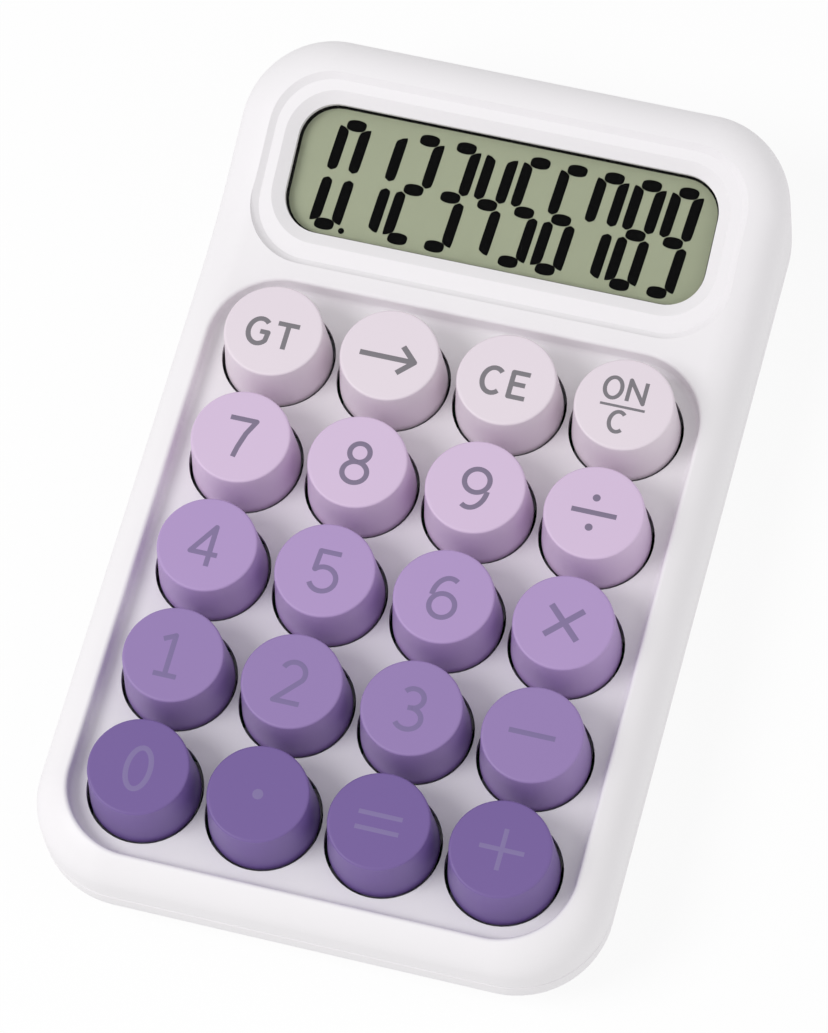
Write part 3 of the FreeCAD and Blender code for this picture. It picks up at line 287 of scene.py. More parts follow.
def moulded_surface():
    """Colour, roughness and height of a moulded surface, with a soft mottle and a fine grain."""
    name = "Moulded surface"
    if name in bpy.data.node_groups:
        return bpy.data.node_groups[name]
    group = bpy.data.node_groups.new(name, "ShaderNodeTree")
    add_sockets(group, "INPUT", [
        ("Vector", "Vector"),
        ("Colour", "Color", (0.8, 0.8, 0.8, 1)),
        ("Mottle", "Float", 0.02),
        ("Mottles per metre", "Float", 60),
        ("Grains per metre", "Float", 6000),
        ("Roughness", "Float", 0.45),
        ("Roughness spread", "Float", 0.08),
    ])
    add_sockets(group, "OUTPUT", [("Colour", "Color"), ("Roughness", "Float"), ("Height", "Float")])
    given = place(group, "NodeGroupInput", (-900, 0)).outputs
    cloud, grain = (
        place(group, "ShaderNodeTexNoise", (-650, y),
              {"Vector": given["Vector"], "Scale": given[scale], "Detail": detail}).outputs["Fac"]
        for y, scale, detail in ((200, "Mottles per metre", 3.0), (-200, "Grains per metre", 2.0))
    )
    centred = calculated(group, (-450, 200), "SUBTRACT", cloud, 0.5)
    shade = calculated(group, (-270, 260), "MULTIPLY_ADD", centred, given["Mottle"], 1.0)
    tinted = place(group, "ShaderNodeHueSaturation", (-90, 260),
                   {"Color": given["Colour"], "Value": shade})
    rough = calculated(group, (-270, 40), "MULTIPLY_ADD",
                       centred, given["Roughness spread"], given["Roughness"])
    place(group, "NodeGroupOutput", (150, 0),
          {"Colour": tinted.outputs["Color"], "Roughness": rough, "Height": grain})
    return group


def blank_material(name):
    """A material with an empty tree, that tree, and its Object coordinates."""
    material = bpy.data.materials.new(name)
    material.use_nodes = True
    tree = material.node_tree
    tree.nodes.clear()
    return material, tree, place(tree, "ShaderNodeTexCoord", (-900, 0)).outputs["Object"]


def surface_node(tree, where, colour, mottle, roughness, spread):
    """The outputs of a moulded surface in a material's own tree."""
    inputs = {"Vector": where, "Colour": colour, "Mottle": mottle, "Roughness": roughness,
              "Roughness spread": spread}
    return place(tree, "ShaderNodeGroup", (-600, 0), inputs, node_tree=moulded_surface()).outputs


def moulded(name, colour, roughness, mottle=0.03, grain_depth=0.01 * MM, spread=0.08,
            **shader_values):
    """A material on the moulded surface. Its colour may also be a function that adds nodes."""
    material, tree, where = blank_material(name)
    tone = colour(tree, where) if callable(colour) else linear(colour)
    surface = surface_node(tree, where, tone, mottle, roughness, spread)
    bump = place(tree, "ShaderNodeBump", (-250, -200),
                 {"Height": surface["Height"], "Distance": grain_depth, "Strength": 0.6})
    shader = place(tree, "ShaderNodeBsdfPrincipled", (0, 0),
                   {"Base Color": surface["Colour"], "Roughness": surface["Roughness"],
                    "Normal": bump.outputs["Normal"], **shader_values})
    place(tree, "ShaderNodeOutputMaterial", (300, 0), {"Surface": shader.outputs[0]})
    return material


def metal(name, colour, roughness):
    """A bare metal with faint mottling."""
    return moulded(name, colour, roughness, mottle=0.06, grain_depth=0.002 * MM, spread=0.12,
                   Metallic=1.0)


def clear_acrylic(tint, roughness):
    """Clear plastic that lets lamps light what lies under it."""
    material, tree, where = blank_material("Clear acrylic")
    surface = surface_node(tree, where, linear(tint), 0.01, roughness, roughness / 2)
    shader = place(tree, "ShaderNodeBsdfPrincipled", (-300, 0),
                   {"Base Color": surface["Colour"], "Roughness": surface["Roughness"],
                    "IOR": 1.33, "Specular IOR Level": 0.03, "Transmission Weight": 1.0})
    open_air = place(tree, "ShaderNodeBsdfTransparent", (-300, -300))
    rays = place(tree, "ShaderNodeLightPath", (-500, 350)).outputs
    lit_through = calculated(tree, (-250, 350), "MAXIMUM",
                             rays["Is Shadow Ray"], rays["Is Diffuse Ray"])
    seen = mixed(tree, (0, 0), lit_through, shader.outputs[0], open_air.outputs[0])
    place(tree, "ShaderNodeOutputMaterial", (250, 0), {"Surface": seen})
    return material


def banded(colours, period, share_of_first):
    """A colour that changes in equal bands across the case."""

    def add(tree, where):
        across = place(tree, "ShaderNodeSeparateXYZ", (-1300, 200), {0: where}).outputs["X"]
        spot = calculated(tree, (-1150, 200), "DIVIDE", across, period)
        phase = calculated(tree, (-1000, 200), "FRACT", spot)
        past = calculated(tree, (-850, 200), "GREATER_THAN", phase, share_of_first)
        return chosen_colour(tree, (-700, 200), past, *map(linear, colours))

    return add


def stepped(colours, limits):
    """A colour that changes at given places across the case."""

    def add(tree, where):
        across = place(tree, "ShaderNodeSeparateXYZ", (-1300, 200), {0: where}).outputs["X"]
        tone = linear(colours[0])
        for i, (limit, colour) in enumerate(zip(limits, colours[1:])):
            past = calculated(tree, (-1100 + 150 * i, 350), "GREATER_THAN", across, limit)
            tone = chosen_colour(tree, (-1100 + 150 * i, 150), past, tone, linear(colour))
        return tone

    return add


def tracked(mask_colour, track_colour):
    """Solder mask over straight tracks, which run in patches of the board."""

    def add(tree, where):
        net = place(tree, "ShaderNodeTexBrick", (-1300, 250),
                    {"Vector": where, "Scale": 1.0, "Mortar Size": 0.16 * MM,
                     "Mortar Smooth": 0.2, "Brick Width": 11.7 * MM, "Row Height": 1.27 * MM},
                    offset=0.37, offset_frequency=3, squash=0.6, squash_frequency=4)
        cloud = place(tree, "ShaderNodeTexNoise", (-1300, 500),
                      {"Vector": where, "Scale": 75.0, "Detail": 1.0})
        patch = calculated(tree, (-1100, 500), "GREATER_THAN", cloud.outputs["Fac"], 0.5)
        track = calculated(tree, (-900, 350), "MULTIPLY", net.outputs["Fac"], patch)
        return chosen_colour(tree, (-700, 350), track, linear(mask_colour), linear(track_colour))

    return add


# ---- lettering of the keys, in millimetres from the middle of a key


def arc(centre, radii, start=0, end=360, steps=24):
    """Points on a part of an ellipse, between two angles in degrees."""
    points = []
    for step in range(steps + 1):
        turn = math.radians(start + (end - start) * step / steps)
        x, y = radii[0] * math.cos(turn), radii[1] * math.sin(turn)
        points.append((centre[0] + x, centre[1] + y))
    return points


LETTERING = {
    "gt": [
        arc((-2.15, -0.6), (1.75, 2.2), 48, 318) + [(-0.7, -0.62), (-2.0, -0.62)],
        [(0.5, 1.4), (4.0, 1.4)],
        [(2.25, 1.4), (2.25, -2.95)],
    ],
    "arrow": [[(-4.7, -0.5), (4.2, -0.5)], [(1.85, 1.85), (4.2, -0.5), (1.85, -2.85)]],
    "ce": [
        arc((-2.0, -0.6), (1.7, 2.2), 48, 312),
        [(3.6, 1.5), (0.95, 1.5), (0.95, -2.75), (3.6, -2.75)],
        [(0.95, -0.5), (3.2, -0.5)],
    ],
    "on_c": [
        arc((-2.3, 2.45), (1.35, 1.8), steps=36),
        [(0.2, 0.6), (0.2, 4.3), (2.8, 0.6), (2.8, 4.3)],
        [(-3.75, -0.55), (3.45, -0.55)],
        arc((-0.3, -3.2), (1.3, 1.75), 48, 312),
    ],
    "0": [arc((0.1, -0.3), (1.85, 3.4), steps=48)],
    "1": [[(-2.1, 2.2), (-0.35, 3.1), (-0.35, -3.6)], [(-2.2, -3.6), (1.5, -3.6)]],
    "2": [arc((-0.05, 1.25), (1.85, 1.85), 158, -30) + [(-2.05, -3.6), (2.1, -3.6)]],
    "3": [
        arc((-0.15, 1.5), (1.7, 1.6), 145, -85) + [(-0.6, -0.1)],
        arc((-0.15, -1.85), (2.05, 1.8), 88, -148),
    ],
    "4": [[(0.75, -3.65), (0.75, 3.1), (-2.3, -1.55), (2.05, -1.55)]],
    "5": [[(1.9, 3.05), (-1.4, 3.05), (-1.6, -0.1)] + arc((0.0, -1.55), (2.1, 2.05), 137, -155)],
    "6": [arc((0.45, -0.2), (2.35, 3.3), 62, 178, 20), arc((0.1, -1.6), (2.0, 2.0), steps=40)],
    "7": [[(-2.4, 2.95), (1.85, 2.95), (0.7, 0.6), (0.0, -1.9), (-0.3, -3.65)]],
    "8": [arc((0.0, 1.5), (1.6, 1.6), steps=36), arc((0.0, -1.9), (1.95, 1.8), steps=40)],
    "9": [arc((-0.3, -0.35), (2.35, 3.3), -118, -2, 20), arc((0.05, 1.05), (2.0, 2.0), steps=40)],
    "divide": [[(-3.6, -0.1), (3.6, -0.1)]],
    "multiply": [[(-2.5, 2.5), (2.7, -2.6)], [(2.7, 2.5), (-2.5, -2.6)]],
    "minus": [[(-3.7, 0.0), (3.6, 0.0)]],
    "point": [],
    "equals": [[(-3.4, 0.95), (3.5, 0.95)], [(-3.4, -1.55), (3.5, -1.55)]],
    "plus": [[(-3.3, -0.1), (3.7, -0.1)], [(0.2, 3.3), (0.2, -3.5)]],
}
DOTS = {
    "divide": [((-0.2, 2.45), 0.62), ((-0.2, -2.65), 0.62)],
    "point": [((0.0, -0.1), 0.85)],
}
STROKE_WIDTHS = {
    "gt": 0.82, "arrow": 0.92, "ce": 0.82, "on_c": 0.66, "divide": 0.85, "multiply": 1.0,
    "minus": 0.85, "equals": 0.75, "plus": 0.75,
}
DIGIT_STROKE = 0.84

# The bar of ON over C is finer than its letters by this factor
FINE_STROKES = {("on_c", 2): 0.68}

# A stroke is cut where it turns by more than this
STROKE_CORNER = math.radians(30)
LETTERING_CREASE = math.radians(50)


def split_at_corners(stroke):
    """The smooth runs of a stroke, cut where it turns sharply."""
    runs = [[stroke[0]]]
    for before, spot, after in zip(stroke, stroke[1:], stroke[2:]):
        runs[-1].append(spot)
        turn = (Vector(spot) - Vector(before)).angle(Vector(after) - Vector(spot))
        if turn > STROKE_CORNER:
            runs.append([spot])
    runs[-1].append(stroke[-1])
    return runs


def lettering_mesh(key, ink_height):
    """The printed strokes of one key as flattened bars, about the middle of its top."""
    half = STROKE_WIDTHS.get(key, DIGIT_STROKE) / 2
    curve = bpy.data.curves.new("strokes", "CURVE")
    curve.dimensions = "3D"
    curve.bevel_depth = half
    curve.bevel_resolution = 2
    curve.use_fill_caps = True
    runs, weights = [], []
    for i, stroke in enumerate(LETTERING[key]):
        cut = split_at_corners(stroke)
        runs += cut
        weights += [FINE_STROKES.get((key, i), 1.0)] * len(cut)
    for run, weight in zip(runs, weights):
        closed = math.dist(run[0], run[-1]) < JOIN_DISTANCE
        points = run[:-1] if closed else run
        spline = curve.splines.new("POLY")
        spline.points.add(len(points) - 1)
        spline.use_cyclic_u = closed
        for point, (x, y) in zip(spline.points, points):
            point.co = (x, y, 0, 1)
            point.radius = weight
    shape = bmesh.new()
    if curve.splines:
        bars = plain_mesh(linked("strokes", curve))
        shape.from_mesh(bars)
        bpy.data.meshes.remove(bars)
    corners = [run[-1] for run, following in zip(runs, runs[1:]) if run[-1] == following[0]]
    for corner in corners:
        spot = Matrix.Translation((*corner, 0))
        bmesh.ops.create_uvsphere(shape, u_segments=24, v_segments=8, radius=half, matrix=spot)
    for (x, y), radius in DOTS.get(key, []):
        spot = Matrix.Translation((x, y, 0)) @ Matrix.Diagonal((1, 1, half / radius, 1))
        bmesh.ops.create_uvsphere(shape, u_segments=32, v_segments=8, radius=radius, matrix=spot)
    flatten = Matrix.Diagonal((MM, MM, ink_height / half, 1))
    bmesh.ops.transform(shape, matrix=flatten, verts=shape.verts)
    return finished(shape, "lettering_" + key, LETTERING_CREASE)


# ---- the display's digits, in millimetres on the panel

SEGMENTS_OF = {
    "0": "abcdef", "1": "bc", "2": "abged", "3": "abgcd", "4": "fgbc",
    "5": "afgcd", "6": "afgcde", "7": "abcf", "8": "abcdefg", "9": "abcdfg",
}
FIRST_DIGIT = -26.95
READOUT_LEVEL = -0.35

# Level segments: how high each lies, and their width and height
BAR_LEVELS = {"a": 8.35, "g": 0.0, "d": -8.3}
BAR_SIZE = (3.25, 1.95)

# Standing segments: the side and the half of the digit that each is in, how far from the
# digit's middle they stand, and their width. The profile goes round one of them, with heights
# at its outer edge (1), its middle (0) and its inner edge (-1). Its corners are cut by a share.
POST_SPOTS = {"b": (1, 1), "c": (1, -1), "e": (-1, -1), "f": (-1, 1)}
POST_REACH = 1.78
POST_WIDTH = 1.8
POST_PROFILE = [(1, 1.0), (0, 0.55), (-1, 1.1), (-1, 7.3), (0, 7.9), (1, 8.1)]
POST_ROUNDING = 0.16

# The point: how far it is to the right of its digit's middle and below it, and its radius
POINT_STEP = 2.2
POINT_DROP = 8.9
POINT_RADIUS = 0.5


def bar_outline():
    """A lens-shaped level segment about its own middle."""
    half, rise = (side / 2 for side in BAR_SIZE)
    turns = [math.pi * i / 12 for i in range(13)]
    upper = [(half * math.cos(t), rise * math.sin(t) ** 0.6) for t in turns]
    return upper + [(x, -y) for x, y in reversed(upper[1:-1])]


def post_outline(side, up):
    """A standing segment whose ends are cut to clear the level segments."""
    profile = [Vector((side * (POST_REACH + across * POST_WIDTH / 2), height))
               for across, height in POST_PROFILE]
    outline = []
    for before, corner, after in zip(profile[-1:] + profile, profile, profile[1:] + profile[:1]):
        first, last = corner.lerp(before, POST_ROUNDING), corner.lerp(after, POST_ROUNDING)
        outline += [first, first.lerp(last, 0.5).lerp(corner, 0.4), last]
    outline = [(point.x, up * point.y) for point in outline]
    return outline if side * up > 0 else outline[::-1]


def readout_outlines(text, pitch, slant):
    """The flat outlines of every dark segment of a readout, and of its point."""
    outlines = []
    middle = FIRST_DIGIT
    for letter in text:
        if letter == ".":
            spot = (middle - pitch + POINT_STEP, READOUT_LEVEL - POINT_DROP)
            outlines.append(arc(spot, (POINT_RADIUS, POINT_RADIUS), 0, 345, 23))
            continue
        for name in SEGMENTS_OF[letter]:
            if name in BAR_LEVELS:
                flat = [(x, BAR_LEVELS[name] + y) for x, y in bar_outline()]
            else:
                flat = post_outline(*POST_SPOTS[name])
            outlines.append([(middle + x + slant * y, READOUT_LEVEL + y) for x, y in flat])
        middle += pitch
    return [[(x * MM, y * MM) for x, y in outline] for outline in outlines]


def shade_border_mesh():
    """Painted shade: a dark ring round the window, flat over the panel, drawn as a printed mask
    that stands in for the shadow at the window's edge.
    """
    shape = bmesh.new()
    low = BORDER_UNDERSIDE - PANEL_TOP
    high = low + BORDER_THICKNESS
    wide, narrow = round_outline(*BORDER_OUTSIDE), round_outline(*BORDER_INSIDE)
    rings = [(wide, low), (wide, high), (narrow, high), (narrow, low), (wide, low)]
    bridge(shape, [[(x, y, z) for x, y in outline] for outline, z in rings])
    bmesh.ops.remove_doubles(shape, verts=shape.verts, dist=JOIN_DISTANCE)
    return finished(shape, "window_border")


# ---- repeated pieces


def set_inputs(modifier, values):
    """Set the named inputs of a node modifier."""
    for item in modifier.node_group.interface.items_tree:
        if item.item_type == "SOCKET" and item.in_out == "INPUT" and item.name in values:
            modifier[item.identifier] = values[item.name]


def geometry_tree(name, inputs):
    """A tree for a modifier, and the outputs of its input node."""
    tree = bpy.data.node_groups.new(name, "GeometryNodeTree")
    tree.is_modifier = True
    add_sockets(tree, "INPUT", [("Geometry", "Geometry"), *inputs, ("Material", "Material")])
    add_sockets(tree, "OUTPUT", [("Geometry", "Geometry")])
    return tree, place(tree, "NodeGroupInput", (-900, 0)).outputs


def paint_and_end(tree, x, geometry, given):
    """The last nodes of a tree, from a place on: the material and the output."""
    paint = place(tree, "GeometryNodeSetMaterial", (x, 0),
                  {"Geometry": geometry, "Material": given["Material"]})
    place(tree, "NodeGroupOutput", (x + 200, 0), {"Geometry": paint.outputs[0]})


def repeat_tree():
    """Nodes that set a pattern, turned about the upright, on each point as one plain mesh."""
    tree, given = geometry_tree("Repeat on points", [
        ("Pattern", "Object"), ("Largest turn", "Float", 0.0), ("Seed", "Int", 1),
    ])
    pattern = place(tree, "GeometryNodeObjectInfo", (-600, -150), {"Object": given["Pattern"]})
    angle = place(tree, "FunctionNodeRandomValue", (-700, -400),
                  {2: 0.0, 3: given["Largest turn"], "Seed": given["Seed"]}, data_type="FLOAT")
    upright = place(tree, "ShaderNodeCombineXYZ", (-500, -400), {"Z": angle.outputs[1]})
    turn = place(tree, "FunctionNodeEulerToRotation", (-320, -400), {"Euler": upright.outputs[0]})
    copies = place(tree, "GeometryNodeInstanceOnPoints", (-250, 0),
                   {"Points": given["Geometry"], "Instance": pattern.outputs["Geometry"],
                    "Rotation": turn.outputs[0]})
    solid = place(tree, "GeometryNodeRealizeInstances", (-50, 0), {"Geometry": copies.outputs[0]})
    paint_and_end(tree, 150, solid.outputs[0], given)
    return tree


def repeated(name, spots, pattern_mesh, material, largest_turn=0.0, seed=1):
    """One mesh that holds the pattern at every spot."""
    pattern = linked(name + "_pattern", pattern_mesh)
    points = bpy.data.meshes.new(name)
    points.from_pydata([tuple(spot) for spot in spots], [], [])
    carrier = linked(name, points)
    modifier = carrier.modifiers.new("Repeat", "NODES")
    modifier.node_group = bpy.data.node_groups.get("Repeat on points") or repeat_tree()
    set_inputs(modifier, {"Pattern": pattern, "Largest turn": largest_turn, "Seed": seed,
                          "Material": material})
    mesh = plain_mesh(carrier)
    bpy.data.objects.remove(pattern)
    bpy.data.meshes.remove(pattern_mesh)
    return mesh


def coil_tree():
    """Nodes that wind a coil spring with a closed ring at each end, standing on z = 0."""
    tree, given = geometry_tree("Coil spring", [
        ("Mean radius", "Float", 1.9 * MM), ("Wire radius", "Float", 0.2 * MM),
        ("Height", "Float", 7.0 * MM), ("Turns", "Float", 7.0),
    ])
    rise = calculated(tree, (-650, -250), "MULTIPLY_ADD",
                      given["Wire radius"], -2.0, given["Height"])
    winding = place(tree, "GeometryNodeCurveSpiral", (-450, 150),
                    {"Resolution": 18, "Rotations": given["Turns"],
                     "Start Radius": given["Mean radius"], "End Radius": given["Mean radius"],
                     "Height": rise})
    ring = place(tree, "GeometryNodeCurvePrimitiveCircle", (-450, -100),
                 {"Resolution": 24, "Radius": given["Mean radius"]})
    top = place(tree, "ShaderNodeCombineXYZ", (-450, -300), {"Z": rise})
    upper_ring = place(tree, "GeometryNodeTransform", (-250, -250),
                       {"Geometry": ring.outputs["Curve"], "Translation": top.outputs[0]})
    joined = place(tree, "GeometryNodeJoinGeometry", (-50, 50),
                   {"Geometry": winding.outputs["Curve"]})
    tree.links.new(ring.outputs["Curve"], joined.inputs["Geometry"])
    tree.links.new(upper_ring.outputs[0], joined.inputs["Geometry"])
    wire = place(tree, "GeometryNodeCurvePrimitiveCircle", (-250, -450),
                 {"Resolution": 6, "Radius": given["Wire radius"]})
    swept = place(tree, "GeometryNodeCurveToMesh", (150, 0),
                  {"Curve": joined.outputs[0], "Profile Curve": wire.outputs["Curve"],
                   "Fill Caps": True})
    foot = place(tree, "ShaderNodeCombineXYZ", (150, -250), {"Z": given["Wire radius"]})
    standing = place(tree, "GeometryNodeTransform", (350, 0),
                     {"Geometry": swept.outputs[0], "Translation": foot.outputs[0]})
    smooth = place(tree, "GeometryNodeSetShadeSmooth", (550, 0), {"Geometry": standing.outputs[0]})
    paint_and_end(tree, 750, smooth.outputs[0], given)
    return tree


def coil_mesh(name, height, turns, material):
    """The mesh of one coil spring."""
    carrier = linked(name, bpy.data.meshes.new(name))
    modifier = carrier.modifiers.new("Coil", "NODES")
    modifier.node_group = bpy.data.node_groups.get("Coil spring") or coil_tree()
    set_inputs(modifier, {"Height": height, "Turns": turns, "Material": material})
    return plain_mesh(carrier)


# ---- screws and other small shapes

SCREW_SIDES = 24
SCREW_CREASE = math.radians(40)
# Rows of faces in one turn of a thread, its root as a share of the shank's radius, and the
# shank's end as a share of the root
THREAD_STEPS = 4
THREAD_ROOT = 0.78
THREAD_TIP = 0.4
# Radius and height of the rings round a screw's head, as shares of its own
HEAD_PROFILE = [(0.74, -1), (0.9, -0.9), (1, -0.6), (1, 0)]
# The cross in the head: its reach and half the width of an arm as shares of the head's radius,
# how much narrower its floor is, and how low that lies as a share of the head's height
CROSS = (0.52, 0.13)
CROSS_TAPER = 0.8
CROSS_FLOOR = 0.45

DOME_SIDES = 12
DOME_CREASE = math.radians(50)
# Slopes at which the rings of a dome lie, in radians from its foot
DOME_ANGLES = (0, 0.5, 1.0, 1.35)
LETTER_CUTS = 24

# A screw's sizes, apart from the length of its shank
CASE_SCREW = {"head_radius": 2.0 * MM, "head_height": 1.2 * MM, "shank_radius": 0.95 * MM,
              "pitch": 0.9 * MM}
BOARD_SCREW = {"head_radius": 1.3 * MM, "head_height": 0.8 * MM, "shank_radius": 0.7 * MM,
               "pitch": 0.6 * MM}
BOARD_SCREW_LENGTH = 3.4 * MM
# Places of the display board's screws, to each side of its middle and up and down its slope
DISPLAY_SCREW_X = 39 * MM
DISPLAY_SCREW_Y = 7 * MM


def ring_of(radii, z):
    """The points of a level ring, one for each radius."""
    turns = [2 * math.pi * i / len(radii) for i in range(len(radii))]
    return [(r * math.cos(turn), r * math.sin(turn), z) for r, turn in zip(radii, turns)]


def bridge(shape, rings):
    """Faces between neighbouring rings of vertices."""
    rows = [[shape.verts.new(point) for point in ring] for ring in rings]
    for lower, upper in zip(rows, rows[1:]):
        for i in range(len(lower)):
            j = (i + 1) % len(lower)
            shape.faces.new((lower[i], lower[j], upper[j], upper[i]))
    return rows


def edges_round(shape, ring):
    """The edges of a closed ring of vertices, made where they are missing."""
    pairs = zip(ring, ring[1:] + ring[:1])
    return [shape.edges.get(pair) or shape.edges.new(pair) for pair in pairs]


def cross_outline(reach, half_width):
    """The twelve corners of a cross."""
    quarter = [(reach, -half_width), (reach, half_width), (half_width, half_width)]
    turns = [Matrix.Rotation(math.radians(90 * i), 2) for i in range(4)]
    return [tuple(turn @ Vector(corner)) for turn in turns for corner in quarter]


def screw_mesh(shank_length, head_radius, head_height, shank_radius, pitch):
    """A screw whose cross-recessed head hangs below z = 0, with its threaded shank above."""
    shape = bmesh.new()
    root = THREAD_ROOT * shank_radius
    rings = [ring_of([r * head_radius] * SCREW_SIDES, z * head_height) for r, z in HEAD_PROFILE]
    rings.append(ring_of([root] * SCREW_SIDES, 0))
    for row in range(1, int(shank_length / pitch * THREAD_STEPS)):
        z = row * pitch / THREAD_STEPS
        fade = min(1.0, z / pitch, (shank_length - z) / pitch)
        phases = [(z / pitch - side / SCREW_SIDES) % 1.0 for side in range(SCREW_SIDES)]
        ridges = [max(0.0, 1 - 3 * abs(phase - 0.5)) * fade for phase in phases]
        rings.append(ring_of([root + (shank_radius - root) * ridge for ridge in ridges], z))
    rings.append(ring_of([THREAD_TIP * root] * SCREW_SIDES, shank_length))
    rows = bridge(shape, rings)
    shape.faces.new(rows[-1])
    rim = cross_outline(*(part * head_radius for part in CROSS))
    mouth = [(x, y, -head_height) for x, y in rim]
    floor = [(CROSS_TAPER * x, CROSS_TAPER * y, -CROSS_FLOOR * head_height) for x, y in rim]
    recess = bridge(shape, [mouth, floor])
    around = edges_round(shape, rows[0]) + edges_round(shape, recess[0])
    bmesh.ops.triangle_fill(shape, use_beauty=True, edges=around)
    shape.faces.new(recess[1])
    return finished(shape, "screw", SCREW_CREASE)


def box_mesh(x, y, z, foot=0.0):
    """A box about the upright through the origin, from its sides and its foot in millimetres."""
    outline = [(a * x * MM / 2, b * y * MM / 2) for a, b in ((1, 1), (-1, 1), (-1, -1), (1, -1))]
    return prisms("box", [outline], foot * MM, (foot + z) * MM)


def dome_mesh(radius, height):
    """A small drop of solder that hangs below z = 0."""
    shape = bmesh.new()
    rows = bridge(shape, [ring_of([radius * math.cos(a)] * DOME_SIDES, -height * math.sin(a))
                          for a in DOME_ANGLES])
    shape.faces.new(rows[0])
    shape.faces.new(rows[-1])
    return finished(shape, "dome", DOME_CREASE)


def solid_places(node):
    """The lowest and the highest corner of each separate solid of a node, in the node's order."""
    shape = joined_shape(frame["nodes"][node].data)
    seen = set()
    boxes = []
    for first in shape.verts:
        if first in seen:
            continue
        seen.add(first)
        solid = [first]
        # The list grows while it is read, until it holds every vertex of the solid.
        for vertex in solid:
            for edge in vertex.link_edges:
                other = edge.other_vert(vertex)
                if other not in seen:
                    seen.add(other)
                    solid.append(other)
        boxes.append(tuple(Vector(pick(v.co[i] for v in solid) for i in range(3))
                           for pick in (min, max)))
    shape.free()
    return boxes


def letters_mesh(text, size, thickness):
    """Flat letters about the origin, cut across so that they can bend."""
    curve = bpy.data.curves.new("letters", "FONT")
    curve.body = text
    curve.size = size
    curve.extrude = thickness / 2
    curve.align_x = "CENTER"
    curve.align_y = "CENTER"
    mesh = plain_mesh(linked("letters", curve))
    shape = joined_shape(mesh)
    bmesh.ops.translate(shape, verts=shape.verts, vec=(0, 0, thickness / 2))
    for cut in range(1, LETTER_CUTS):
        level = size * (cut / LETTER_CUTS - 0.5)
        everything = shape.verts[:] + shape.edges[:] + shape.faces[:]
        bmesh.ops.bisect_plane(shape, geom=everything, plane_co=(0, level, 0),
                               plane_no=(0, 1, 0), dist=1e-8)
    shape.to_mesh(mesh)
    shape.free()
    return mesh


# ---- settings


def picked(name, description, default):
    """A colour that a user can pick."""
    return bpy.props.FloatVectorProperty(name=name, description=description, default=default,
                                         min=0, max=1, size=3, subtype="COLOR_GAMMA")


def length(name, description, default):
    """A length that a user can change, in metres."""
    return bpy.props.FloatProperty(name=name, description=description, default=default, min=0,
                                   precision=5, subtype="DISTANCE", unit="LENGTH")


def share(name, description, default):
    """A share from nothing to all."""
    return bpy.props.FloatProperty(name=name, description=description, default=default,
                                   min=0, max=1, subtype="FACTOR")


def amount(name, description, default, low=0.0, unit="NONE"):
    """A number that a user can change."""
    return bpy.props.FloatProperty(name=name, description=description, default=default,
                                   min=low, unit=unit)


class CaseSettings(bpy.types.PropertyGroup):
    """Finish of the case, the battery door and the feet"""

    case_colour: picked("Case", "Colour of both halves of the case and of the door",
                        (0.940, 0.930, 0.940))
    case_roughness: share("Case roughness", "How matte the case is", 0.5)
    grain_depth: length("Grain depth", "Depth of the fine grain on the case", 0.012 * MM)
    foot_colour: picked("Feet", "Colour of the rubber feet", (0.36, 0.35, 0.37))


class KeySettings(bpy.types.PropertyGroup):
    """Colours of the five rows of caps and of their lettering"""

    cap_1: picked("First row", "Caps of the row at the display", (0.896, 0.851, 0.888))
    cap_2: picked("Second row", "Caps of the second row", (0.830, 0.740, 0.856))
    cap_3: picked("Third row", "Caps of the third row", (0.686, 0.580, 0.779))
    cap_4: picked("Fourth row", "Caps of the fourth row", (0.586, 0.488, 0.708))
    cap_5: picked("Fifth row", "Caps of the front row", (0.463, 0.370, 0.619))
    ink_1: picked("First lettering", "Lettering of the row at the display", (0.500, 0.485, 0.510))
    ink_2: picked("Second lettering", "Lettering of the second row", (0.505, 0.460, 0.560))
    ink_3: picked("Third lettering", "Lettering of the third row", (0.515, 0.452, 0.615))
    ink_4: picked("Fourth lettering", "Lettering of the fourth row", (0.498, 0.436, 0.618))
    ink_5: picked("Fifth lettering", "Lettering of the front row", (0.508, 0.448, 0.642))
    ink_height: length("Ink height", "How far the lettering stands out of a cap", 0.015 * MM)
    cap_roughness: share("Cap roughness", "How matte the caps are", 0.48)


class DisplaySettings(bpy.types.PropertyGroup):
    """The window and what it shows"""

    readout: bpy.props.StringProperty(name="Readout", description="The number on the display",
                                      default="0.123456789")
    panel_colour: picked("Panel", "Background of the readout", (0.626, 0.644, 0.551))
    # The segments' colour also paints the dark ring of shade round the window.
    segment_colour: picked("Segments", "The dark segments", (0.012, 0.012, 0.014))
    glass_tint: picked("Window tint", "Tint of the clear window", (0.97, 0.98, 0.96))
    digit_pitch: length("Digit pitch", "Distance between two digits", 6.14 * MM)
    digit_slant: share("Slant", "How far a digit leans for each unit of its height", 0.097)


